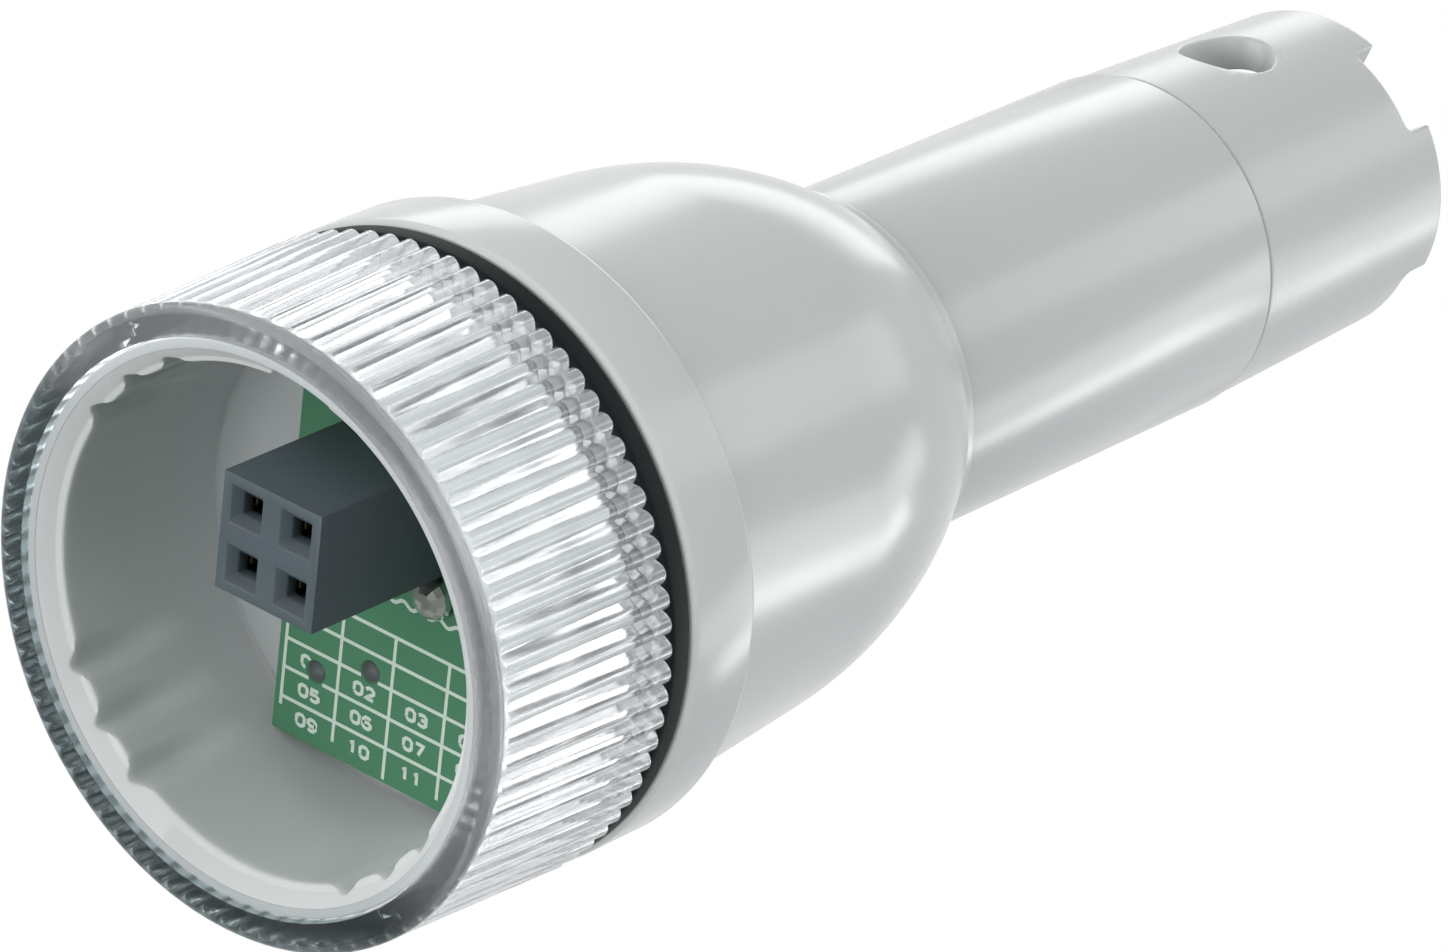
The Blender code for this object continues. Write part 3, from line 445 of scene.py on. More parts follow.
    @cache
    def lathe(self) -> Tree:
        """Return the group that makes the height of the fine lines that turning leaves round the axis."""
        nodes, _, sink = self._group("turning lines", {}, ("Height",))
        squeezed = nodes.vector("MULTIPLY", nodes.place(), (0.02, 0.02, 1.0)).outputs["Vector"]
        nodes.fill(sink, {"Height": nodes.noise(squeezed, 9000.0, 2.0, 0.6)})
        return nodes.tree

    @cache
    def flow(self) -> Tree:
        """Return the group that makes the height of the long ripples of moulding flow along the axis."""
        nodes, given, sink = self._group("moulding flow", {"Scale": 250.0}, ("Height",))
        pulled = nodes.vector("MULTIPLY", nodes.place(), (1.0, 1.0, 0.2)).outputs["Vector"]
        nodes.fill(sink, {"Height": nodes.noise(pulled, given["Scale"], 3.0, 0.5, 0.4)})
        return nodes.tree


EFFECTS = Effects()


@dataclass(frozen=True)
class Finish:
    """A finish that can be turned into a Principled material."""

    name: str
    colour: Colour
    roughness: float

    def start(self) -> tuple[Material, Node, NodeTree]:
        """Return a new material, its Principled shader and its tree."""
        material = bpy.data.materials.new(self.name)
        material.use_nodes = True
        material.diffuse_color = (*self.colour, 1.0)
        nodes = NodeTree(material.node_tree)
        shader = nodes.tree.nodes["Principled BSDF"]
        nodes.fill(shader, {"Base Color": self.colour, "Roughness": self.roughness})
        return material, shader, nodes

    def _mottle(self, nodes: NodeTree, shader: Node, tint: Colour, scale: float, amount: float, spread: float
                ) -> None:
        """Vary the colour and the roughness softly."""
        mottle = nodes.group(EFFECTS.mottle(), Scale=scale, Base=self.colour, Tint=tint, Amount=amount,
                             Roughness=self.roughness, Spread=spread)
        nodes.fill(shader, {"Base Color": mottle["Color"], "Roughness": mottle["Roughness"]})

    def _bump(self, nodes: NodeTree, shader: Node, height: Socket, depth: float) -> None:
        """Feed a height into the shader's normal."""
        bump = nodes.add("Bump", {"Height": height, "Distance": depth, "Strength": 1.0})
        nodes.fill(shader, {"Normal": bump.outputs["Normal"]})


@dataclass(frozen=True)
class MouldedPlastic(Finish):
    """Opaque moulded plastic with a fine grain."""

    tint: Colour = (0.4, 0.4, 0.4)
    surface: Surface = Surface.SATIN
    coat: float = 0.0
    turning: float = 0.0
    specular: float = 0.5

    @cache
    def material(self) -> Material:
        """Return the plastic's material."""
        material, shader, nodes = self.start()
        self._mottle(nodes, shader, self.tint, 220.0, 0.35, 0.08)
        scale, depth = self.surface.value
        height = nodes.group(EFFECTS.grain(), Scale=scale)["Height"]
        if self.turning > 0.0:
            lines = nodes.group(EFFECTS.lathe())["Height"]
            height = nodes.math("ADD", height, nodes.math("MULTIPLY", lines, self.turning))
        self._bump(nodes, shader, height, depth)
        nodes.fill(shader, {
            "Specular IOR Level": self.specular, "Coat Weight": self.coat, "Coat Roughness": 0.2,
        })
        return material


@dataclass(frozen=True)
class MouthedPlastic(MouldedPlastic):
    """The housing's plastic, with painted light on its rim, a plain, slightly bluer grey in its bore, and
    painted shade on its floor and its neck's front land.
    """

    # Painted light on the rim, a plain slightly bluer grey for the bore, painted shade for the floor and the
    # front land.
    rim: Colour = (0.72, 0.725, 0.73)
    bore: Colour = (0.575, 0.6, 0.605)
    floor: Colour = (0.385, 0.405, 0.41)

    @cache
    def material(self) -> Material:
        """Return the plastic's material."""
        material = super().material()
        nodes = NodeTree(material.node_tree)
        shader = nodes.tree.nodes["Principled BSDF"]
        colour = shader.inputs["Base Color"].links[0].from_socket
        mouth = nodes.group(EFFECTS.mouth())
        # Lay the bore's plain grey, then the painted shade of the floor and the front land, then the painted
        # light of the rim.
        for mask, paint in (("Bore", self.bore), ("FloorPaintedShade", self.floor), ("RimPaintedLight", self.rim)):
            colour = nodes.blend(mouth[mask], colour, paint)
        nodes.fill(shader, {"Base Color": colour})
        return material


@dataclass(frozen=True)
class ClearPlastic(Finish):
    """Clear moulded plastic or blown glass."""

    flow_depth: float
    flow_scale: float = 350.0
    see_through: float = 1.0
    frost: float = 0.0
    rib_roughness: float = 0.12
    # Painted shade on one side of the ring's front face and bevel, used when frosted.
    dark: Colour = (0.1, 0.145, 0.155)
    ior: float = 1.5

    @cache
    def material(self) -> Material:
        """Return the clear material, which lets the lamps through to what it covers."""
        material, shader, nodes = self.start()
        nodes.fill(shader, {"Transmission Weight": self.see_through, "IOR": self.ior})
        self._bump(nodes, shader, nodes.group(EFFECTS.flow(), Scale=self.flow_scale)["Height"], self.flow_depth)
        # Frosting, with painted shade on one side of the front.
        if self.frost > 0.0:
            frost = nodes.group(EFFECTS.frost_and_painted_shade(), Smooth=self.roughness, Ribs=self.rib_roughness,
                                Frosted=self.frost, Clear=self.colour, Dark=self.dark)
            nodes.fill(shader, {"Roughness": frost["Roughness"], "Base Color": frost["Tint"]})
        path = nodes.add("LightPath")
        nodes.surface(path.outputs["Is Shadow Ray"], shader, nodes.add("BsdfTransparent"))
        return material


@dataclass(frozen=True)
class Metal(Finish):
    """Bare or plated metal."""

    tint: Colour

    @cache
    def material(self) -> Material:
        """Return the metal's material."""
        material, shader, nodes = self.start()
        nodes.fill(shader, {"Metallic": 1.0})
        self._mottle(nodes, shader, self.tint, 900.0, 0.6, 0.2)
        self._bump(nodes, shader, nodes.group(EFFECTS.grain(), Scale=4000.0)["Height"], 1.5e-6)
        return material


GREY = (0.575, 0.6, 0.59)
GREY_TINT = (0.545, 0.57, 0.56)


@dataclass(frozen=True)
class Palette:
    """Every finish of the electrode."""

    stem: Finish = MouldedPlastic("light grey moulding", GREY, 0.22, GREY_TINT, turning=1.2, specular=0.25)
    # The housing gets painted light on its rim and painted shade on its floor and front land.
    housing: Finish = MouthedPlastic("light grey housing", GREY, 0.2, GREY_TINT, specular=0.25)
    guard: Finish = MouldedPlastic("light grey guard", GREY, 0.26, GREY_TINT, Surface.POLISHED, specular=0.25)
    # The ring's frost brings painted shade on one side of its front face and bevel.
    ring: Finish = ClearPlastic("clear polycarbonate", (0.91, 0.935, 0.955), 0.04, 2.0e-6, see_through=0.97,
                                frost=0.3)
    gasket: Finish = MouldedPlastic("black gasket rubber", (0.004, 0.006, 0.007), 0.6, (0.008, 0.009, 0.01),
                                    Surface.SPARKED, specular=0.12)
    header: Finish = MouldedPlastic("blue black connector plastic", (0.076, 0.1, 0.115), 0.5,
                                    (0.095, 0.12, 0.137), Surface.SPARKED)
    via_fill: Finish = MouldedPlastic("dark grey via fill", (0.07, 0.08, 0.085), 0.5, (0.1, 0.11, 0.11),
                                      Surface.SPARKED)
    laminate: Finish = MouldedPlastic("green solder mask", (0.037, 0.15, 0.075), 0.4, (0.055, 0.19, 0.098),
                                      coat=0.4)
    legend: Finish = MouldedPlastic("pale legend ink", (0.5, 0.58, 0.52), 0.6, (0.36, 0.46, 0.39))
    epoxy: Finish = MouldedPlastic("grey epoxy", (0.36, 0.37, 0.36), 0.4, (0.3, 0.31, 0.3))
    solder: Finish = Metal("solder", (0.72, 0.71, 0.69), 0.14, (0.5, 0.46, 0.4))
    # The contacts are darker than gold: painted shade for their place deep in the header's cells.
    contact: Finish = Metal("gold plated contact", (0.2, 0.155, 0.09), 0.45, (0.16, 0.12, 0.07))
    steel: Finish = Metal("stainless tube", (0.58, 0.58, 0.6), 0.25, (0.48, 0.48, 0.5))
    silver: Finish = Metal("silver wire", (0.62, 0.6, 0.57), 0.35, (0.4, 0.38, 0.36))
    ceramic: Finish = MouldedPlastic("porous ceramic", (0.78, 0.75, 0.68), 0.85, (0.66, 0.62, 0.55),
                                     Surface.SPARKED)
    glass: Finish = ClearPlastic("bulb glass", (0.97, 0.98, 0.98), 0.0, 1.0e-6, 120.0)


# The electrode's parts


@dataclass
class Assembly:
    """A sub-assembly of the electrode."""

    palette: Palette

    def build(self) -> list[Item]:
        """Build or dress the sub-assembly.

        Returns:
            Its pieces.
        """
        raise NotImplementedError


@dataclass
class CouplingRing(Assembly):
    """The clear ribbed ring that draws the electrode to the meter."""

    radius: float = 13.42 * MM
    rear_z: float = 9.75 * MM
    rear_round: float = 0.1 * MM
    rib_taper: float = 0.32 * MM
    front_inset: float = 0.6 * MM
    face_inset: float = 0.94 * MM
    bevel_length: float = 0.3 * MM
    valley_start: float = 0.32 * MM
    valley_end: float = 0.68 * MM
    crest_power: float = 2.4
    rib_count: int = 80
    rib_height: float = 0.42 * MM
    wall: float = 1.04 * MM
    bore_edge: float = 0.06 * MM
    lip_radius: float = 11.35 * MM
    lip_length: float = 0.8 * MM
    points_per_rib: int = 12

    def _rib_tip(self, z: float) -> float:
        """Return the radius over the ribs at a height."""
        return self.radius - self.rib_taper * (1.0 - z / self.rear_z)

    def _ribbed(self, z: float, drop: float = 0.0) -> Loop:
        """Return the outside's loop at a height, a drop below the rib's full shape."""
        face = self.radius - self.face_inset
        share = min(1.0, z / self.bevel_length)
        crest = self._rib_tip(z) - drop
        if share < 1.0:
            crest = face + (self._rib_tip(self.bevel_length) - face) * math.sqrt(1.0 - (1.0 - share) ** 2)
        depth = self.rib_height * smooth_step(self.valley_start, self.valley_end, z)
        count = self.rib_count * self.points_per_rib
        loop = []
        for index in range(count):
            place = (index / self.points_per_rib) % 1.0
            valley = abs(2.0 * place - 1.0) ** self.crest_power
            loop.append(polar(crest - depth * valley, 360.0 * index / count, z))
        return loop

    def build(self) -> list[Item]:
        """Build the ring, from the edge of its bore over its outside to its inside."""
        bore = self.radius - self.front_inset - self.wall
        count = self.rib_count * self.points_per_rib
        loops = turned_loops([(bore + self.bore_edge, 0.0)], count)
        for share in (0.0, 0.02, 0.06, 0.14, 0.26, 0.42, 0.6, 0.8, 1.0):
            loops.append(self._ribbed(self.bevel_length * share))
        for step in range(1, 7):
            loops.append(self._ribbed(self.bevel_length + (self.valley_end - self.bevel_length) * step / 6))
        for share in (0.25, 0.5, 0.75, 1.0):
            z = self.valley_end + (self.rear_z - self.rear_round - self.valley_end) * share
            loops.append(self._ribbed(z))
        for step in range(1, 5):
            angle = math.pi / 2 * step / 4
            loops.append(self._ribbed(self.rear_z - self.rear_round * (1 - math.sin(angle)),
                                      self.rear_round * (1 - math.cos(angle))))
        inside = filleted([
            (self.radius - 0.8 * MM, self.rear_z, 0.0),
            (self.lip_radius, self.rear_z, 0.1 * MM),
            (self.lip_radius, self.rear_z - self.lip_length, 0.1 * MM),
            (bore, self.rear_z - self.lip_length, 0.15 * MM),
            (bore, 0.0, 0.09 * MM),
            (bore + self.bore_edge, 0.0, 0.0),
        ], 4, closed=False)
        ring = smooth(loft("coupling_ring_clear", loops + turned_loops(inside[:-1], count)), 50.0)
        return [dressed(ring, self.palette.ring, ("coupling_ring",), Body.RING)]


@dataclass
class Housing(Assembly):
    """The grey moulding: keyed neck, flange and bell."""

    front_z: float = 0.25 * MM
    land_width: float = 0.4 * MM
    rim_z: float = 0.95 * MM
    bore_chamfer: float = 0.25 * MM
    neck_radius: float = 11.69 * MM
    bore_radius: float = 10.5 * MM
    groove_radius: float = 11.1 * MM
    groove_z: float = 8.7 * MM
    flange_z: float = 11.1 * MM
    flange_radius: float = 13.4 * MM
    flange_length: float = 3.75 * MM
    bell_step: float = 0.8 * MM
    cone_draft: float = 0.8 * MM
    cone_end_z: float = 24.5 * MM
    dome_radius: float = 21.5 * MM
    lip_radius: float = 8.45 * MM
    lip_step: float = 0.17 * MM
    lip_length: float = 0.65 * MM
    floor_z: float = 9.9 * MM
    floor_thickness: float = 1.4 * MM
    window_x: tuple[float, float] = (-4.2 * MM, 6.0 * MM)
    window_y: tuple[float, float] = (-6.7 * MM, 1.4 * MM)
    wire_bay_radius: float = 9.19 * MM
    wire_bay_end_z: float = 21.6 * MM
    stop_radius: float = 6.4 * MM
    stop_length: float = 1.6 * MM
    socket_radius: float = 7.85 * MM
    notch_length: float = 6.4 * MM
    notch_reach: float = 11.12 * MM
    notch_step: float = 12.5
    notch_softness: int = 6
    run_out_z: float = 2.6 * MM
    notch_corners: tuple[float, ...] = (45.0, 135.0, 225.0)
    keyway: tuple[float, float] = (-60.0, -20.0)
    slot: tuple[float, float] = (-92.0, -78.0)
    gasket_radius: float = 13.25 * MM
    gasket_front_z: float = 9.85 * MM
    samples: int = 1440

    def _notched_radius(self, degrees: float) -> float:
        """Return how far out the neck's keyed bore reaches at an angle."""
        radius = self.bore_radius
        direction = polar(1.0, degrees)
        for corner in self.notch_corners:
            for offset in (-self.notch_step, 0.0, self.notch_step):
                box = polar(self.notch_reach, corner + offset)
                if direction.x * box.x > 0.0 and direction.y * box.y > 0.0:
                    radius = max(radius, min(box.x / direction.x, box.y / direction.y))
        for start, end in (self.keyway, self.slot):
            if (degrees - start) % 360.0 <= end - start:
                radius = max(radius, self.notch_reach)
        return radius

    def _softened(self, radii: list[float]) -> list[float]:
        """Return a bore's radii with their corners softened."""
        reach = range(-self.notch_softness, self.notch_softness + 1)
        for _ in range(2):
            radii = [sum(radii[(index + shift) % len(radii)] for shift in reach) / len(reach)
                     for index in range(len(radii))]
        return radii

    def _outside(self) -> Outline:
        """Return the outside's (r, z) outline, from the stem's lip down to the neck's rim."""
        flange_end = self.flange_z + self.flange_length
        bell_front = self.flange_radius - self.bell_step
        slope = math.atan2(self.cone_draft, self.cone_end_z - flange_end)
        centre_z = self.cone_end_z - self.dome_radius * math.sin(slope)
        centre_r = bell_front - self.cone_draft - self.dome_radius * math.cos(slope)
        start = math.acos((self.lip_radius + self.lip_step - centre_r) / self.dome_radius)
        steps = 24
        dome = []
        for step in range(steps + 1):
            angle = start + (slope - start) * step / steps
            dome.append((centre_r + self.dome_radius * math.cos(angle),
                         centre_z + self.dome_radius * math.sin(angle), 0.0 if step else 0.08 * MM))
        lip_z = dome[0][1]
        return filleted([
            (self.socket_radius, lip_z + self.lip_length, 0.0),
            (self.lip_radius, lip_z + self.lip_length, 0.12 * MM),
            (self.lip_radius, lip_z, 0.05 * MM),
            *dome,
            (bell_front, flange_end, 0.12 * MM),
            (self.flange_radius, flange_end, 0.4 * MM),
            (self.flange_radius, self.flange_z, 0.3 * MM),
            (self.groove_radius, self.flange_z, 0.1 * MM),
            (self.groove_radius, self.groove_z, 0.1 * MM),
            (self.neck_radius, self.groove_z, 0.1 * MM),
            (self.neck_radius, self.front_z, 0.1 * MM),
            (self.neck_radius - self.land_width, self.front_z, 0.0),
        ], 5, closed=False)

    def _lead_in(self, z: float) -> float:
        """Return the radius of the plain lead-in behind the neck's land, at a height."""
        start = self.neck_radius - self.land_width
        end = self.bore_radius + self.bore_chamfer
        if z < self.rim_z:
            return start + (end - start) * (z - self.front_z) / (self.rim_z - self.front_z)
        turn = min(1.0, (z - self.rim_z) / self.bore_chamfer)
        return self.bore_radius + self.bore_chamfer * (1.0 - math.sqrt(1.0 - (1.0 - turn) ** 2))

    def _window_radius(self, degrees: float) -> float:
        """Return how far out the floor's window reaches at an angle."""
        direction = polar(1.0, degrees)
        reach_x = self.window_x[direction.x > 0.0] / (direction.x or 1e-9)
        reach_y = self.window_y[direction.y > 0.0] / (direction.y or 1e-9)
        return min(abs(reach_x), abs(reach_y))

    def _rings(self, angles: list[float]) -> list[tuple[float, list[float]]]:
        """Return the housing's loops as (z, radius at each angle)."""

        def plain(outline: Outline) -> list[tuple[float, list[float]]]:
            """Return the round loops of an outline."""
            return [(z, [radius] * self.samples) for radius, z in outline]

        keyed = self._softened([self._notched_radius(angle) for angle in angles])
        rings = plain(self._outside())
        lead_in_end = self.rim_z + self.bore_chamfer
        for step in range(1, 15):
            z = self.front_z + (lead_in_end - self.front_z) * step / 14
            cone = self._lead_in(z)
            rings.append((z, [soft_maximum(cone, radius, 0.05 * MM) for radius in keyed]))
        notch_end = self.rim_z + self.notch_length
        deep = self.bore_radius - 0.02 * MM
        for step in range(1, 13):
            z = lead_in_end + (notch_end - lead_in_end) * step / 12
            depth = 1.0 - smooth_step(self.run_out_z, notch_end, z)
            rings.append((z, [deep + (radius - deep) * depth for radius in keyed]))
        rings += plain(filleted([
            (deep, notch_end + 0.05 * MM, 0.0), (deep, self.floor_z, 0.2 * MM), (deep - MM, self.floor_z, 0.0),
        ], 5, closed=False))
        window = [self._window_radius(angle) for angle in angles]
        floor_back = self.floor_z + self.floor_thickness
        rings += [(self.floor_z, window), (floor_back, window)]
        stop_end = self.wire_bay_end_z + self.stop_length
        return rings + plain(filleted([
            (self.wire_bay_radius, floor_back, 0.2 * MM),
            (self.wire_bay_radius, self.wire_bay_end_z, 0.2 * MM),
            (self.stop_radius, self.wire_bay_end_z, 0.1 * MM),
            (self.stop_radius, stop_end, 0.1 * MM),
            (self.socket_radius, stop_end, 0.1 * MM),
            (self.socket_radius, stop_end + 2 * MM, 0.0),
        ], 3, closed=False))

    def build(self) -> list[Item]:
        """Build the housing and its gasket."""
        angles = [360.0 * index / self.samples for index in range(self.samples)]
        loops = [[polar(radius, angle, z) for radius, angle in zip(radii, angles)]
                 for z, radii in self._rings(angles)]
        housing = smooth(loft("housing_moulding", loops), 38.0)
        inner = self.groove_radius + 0.1 * MM
        rear = self.flange_z - 0.03 * MM
        gasket = smooth(loft("gasket_ring", turned_loops(filleted([
            (self.gasket_radius, rear, 0.3 * MM), (self.gasket_radius, self.gasket_front_z, 0.3 * MM),
            (inner, self.gasket_front_z, 0.1 * MM), (inner, rear, 0.1 * MM),
        ]), 200)))
        return [
            dressed(housing, self.palette.housing, ("housing",)),
            dressed(gasket, self.palette.gasket, ("gasket",)),
        ]


@dataclass
class StemAndGuard(Assembly):
    """The stem tube and the slotted guard round the bulb."""

    stem_radius: float = 7.6 * MM
    stem_bore: float = 6.0 * MM
    stem_rear_z: float = 23.45 * MM
    seam_z: float = 56.3 * MM
    seam_gap: float = 0.07 * MM
    spigot_radius: float = 6.75 * MM
    spigot_length: float = 3.0 * MM
    tip_z: float = 69.6 * MM
    root_radius: float = 7.53 * MM
    tip_radius: float = 7.1 * MM
    guard_bore: float = 5.75 * MM
    guard_edge: float = 0.14 * MM
    hole_radius: float = 2.05 * MM
    hole_z: float = 62.56 * MM
    hole_turn: float = 3.9
    first_hole: float = -98.5
    hole_count: int = 2
    seam_turn: float = 22.0
    notch_depth: float = 1.55 * MM
    notch_width: float = 4.25 * MM
    notch_count: int = 4
    columns: int = 120
    rows: tuple[float, ...] = (0.018, 0.15, 0.3, 0.45, 0.6, 0.75, 0.9, 0.982)

    def _stem(self) -> Item:
        """Build the stem tube."""
        spigot_end = self.seam_z + self.spigot_length
        outline = filleted([
            (self.spigot_radius, spigot_end, 0.1 * MM), (self.spigot_radius, self.seam_z, 0.05 * MM),
            (self.stem_radius, self.seam_z, 0.1 * MM), (self.stem_radius, self.stem_rear_z, 0.1 * MM),
            (self.stem_bore, self.stem_rear_z, 0.1 * MM), (self.stem_bore, spigot_end, 0.1 * MM),
        ], 3)
        return smooth(loft("stem_tube_moulding", turned_loops(outline, 200)))

    def _plate(self, outlines: Sequence[Outline]) -> bmesh.types.BMesh:
        """Return a flat plate as thick as the guard's wall, with rounded edges, of a border and its holes."""
        curve = bpy.data.curves.new("guard_plate", "CURVE")
        curve.dimensions = "2D"
        curve.fill_mode = "BOTH"
        curve.extrude = (self.root_radius - self.guard_bore) / 2.0 - self.guard_edge
        curve.bevel_depth = self.guard_edge
        curve.bevel_resolution = 2
        curve.offset = -self.guard_edge
        for outline in outlines:
            spline = curve.splines.new("POLY")
            spline.points.add(len(outline) - 1)
            spline.use_cyclic_u = True
            for point, (x, y) in zip(spline.points, outline):
                point.co = (x, y, 0.0, 1.0)
        flat = bpy.data.objects.new("guard_plate", curve)
        bpy.context.scene.collection.objects.link(flat)
        bpy.context.view_layer.update()
        mesh = bpy.data.meshes.new_from_object(flat.evaluated_get(bpy.context.evaluated_depsgraph_get()))
        bpy.data.objects.remove(flat, do_unlink=True)
        shape = bmesh.new()
        shape.from_mesh(mesh)
        return shape

    def _guard(self) -> Item:
        """Build the guard as a flat plate with rounded cut-outs, then roll it up."""
        root_z = self.seam_z + self.seam_gap
        circle = 2.0 * math.pi
        unit = 7.0 * MM
        around = circle * unit
        lap = 1.5 * MM
        seam_angle = math.radians(self.first_hole + self.seam_turn)
        first_hole = (math.radians(self.first_hole) + circle - seam_angle) % circle * unit
        shift = math.radians(self.hole_turn) * unit
        holes = [(first_hole + shift + around * index / self.hole_count) % around
                 for index in range(self.hole_count)]
        notches = sorted((first_hole + around * (index + 0.5) / self.notch_count) % around
                         for index in range(self.notch_count))
        border = [(-lap, root_z, 0.0), (around + lap, root_z, 0.0), (around + lap, self.tip_z, 0.0)]
        floor_z = self.tip_z - self.notch_depth
        for place in reversed(notches):
            right = place + self.notch_width / 2.0
            left = place - self.notch_width / 2.0
            border += [(right, self.tip_z, 0.12 * MM), (right, floor_z, 0.42 * MM),
                       (left, floor_z, 0.42 * MM), (left, self.tip_z, 0.12 * MM)]
        border.append((-lap, self.tip_z, 0.0))
        rounds = [[(hole + self.hole_radius * math.cos(circle * step / 40),
                    self.hole_z + self.hole_radius * math.sin(circle * step / 40)) for step in range(40)]
                  for hole in holes]
        shape = self._plate([filleted(border, 5), *rounds])

        def cut(place: float, direction: tuple[float, float, float], **clear: bool) -> None:
            """Add edges to the plate where a plane crosses it, and clear what lies beyond if asked."""
            bmesh.ops.bisect_plane(shape, geom=shape.verts[:] + shape.edges[:] + shape.faces[:], dist=1e-7,
                                   plane_co=Vector(direction) * place, plane_no=direction, **clear)

        for column in range(self.columns + 1):
            cut(around * column / self.columns, (1.0, 0.0, 0.0), clear_inner=column == 0,
                clear_outer=column == self.columns)
        for share in self.rows:
            cut(root_z + (self.tip_z - root_z) * share, (0.0, 1.0, 0.0))
        wall = self.root_radius - self.guard_bore
        for vert in shape.verts:
            x, z, depth = vert.co
            along = (z - root_z) / (self.tip_z - root_z)
            outer = self.root_radius + (self.tip_radius - self.root_radius) * along
            radius = self.guard_bore + (outer - self.guard_bore) * (depth / wall + 0.5)
            vert.co = polar(radius, math.degrees(seam_angle + x / unit), z)
        bmesh.ops.remove_doubles(shape, verts=shape.verts, dist=2e-6)
        bmesh.ops.recalc_face_normals(shape, faces=shape.faces)
        return smooth(from_bmesh("guard_moulding", shape), 40.0)

    def build(self) -> list[Item]:
        """Build the stem and the guard."""
        return [
            dressed(self._stem(), self.palette.stem, ("stem_tube",)),
            dressed(self._guard(), self.palette.guard, ("guard",)),
        ]


# Strokes of the digits on a field one wide and one high, as x,y points.  A slash starts another stroke.
DIGITS = {
    "0": "0,.2 0,.8 .3,1 .7,1 1,.8 1,.2 .7,0 .3,0 0,.2",
    "1": ".2,.8 .55,1 .55,0",
    "2": "0,.8 .3,1 .7,1 1,.8 1,.6 0,0 1,0",
    "3": "0,.9 .3,1 .7,1 1,.8 1,.65 .7,.53 .35,.53 / .7,.53 1,.38 1,.2 .7,0 .3,0 0,.12",
    "4": ".72,0 .72,1 0,.3 1,.3",
    "5": ".95,1 .1,1 .05,.55 .65,.6 1,.42 1,.2 .7,0 .3,0 0,.12",
    "6": ".95,.9 .7,1 .3,1 0,.75 0,.2 .3,0 .7,0 1,.2 1,.38 .7,.56 .3,.56 0,.42",
    "7": "0,1 1,1 .4,0",
    "8": ".3,.53 0,.7 0,.85 .3,1 .7,1 1,.85 1,.7 .7,.53 .3,.53 0,.36 0,.17 .3,0 .7,0 1,.17 1,.36 .7,.53",
    "9": ".05,.1 .3,0 .7,0 1,.25 1,.8 .7,1 .3,1 0,.8 0,.62 .3,.44 .7,.44 1,.58",
}


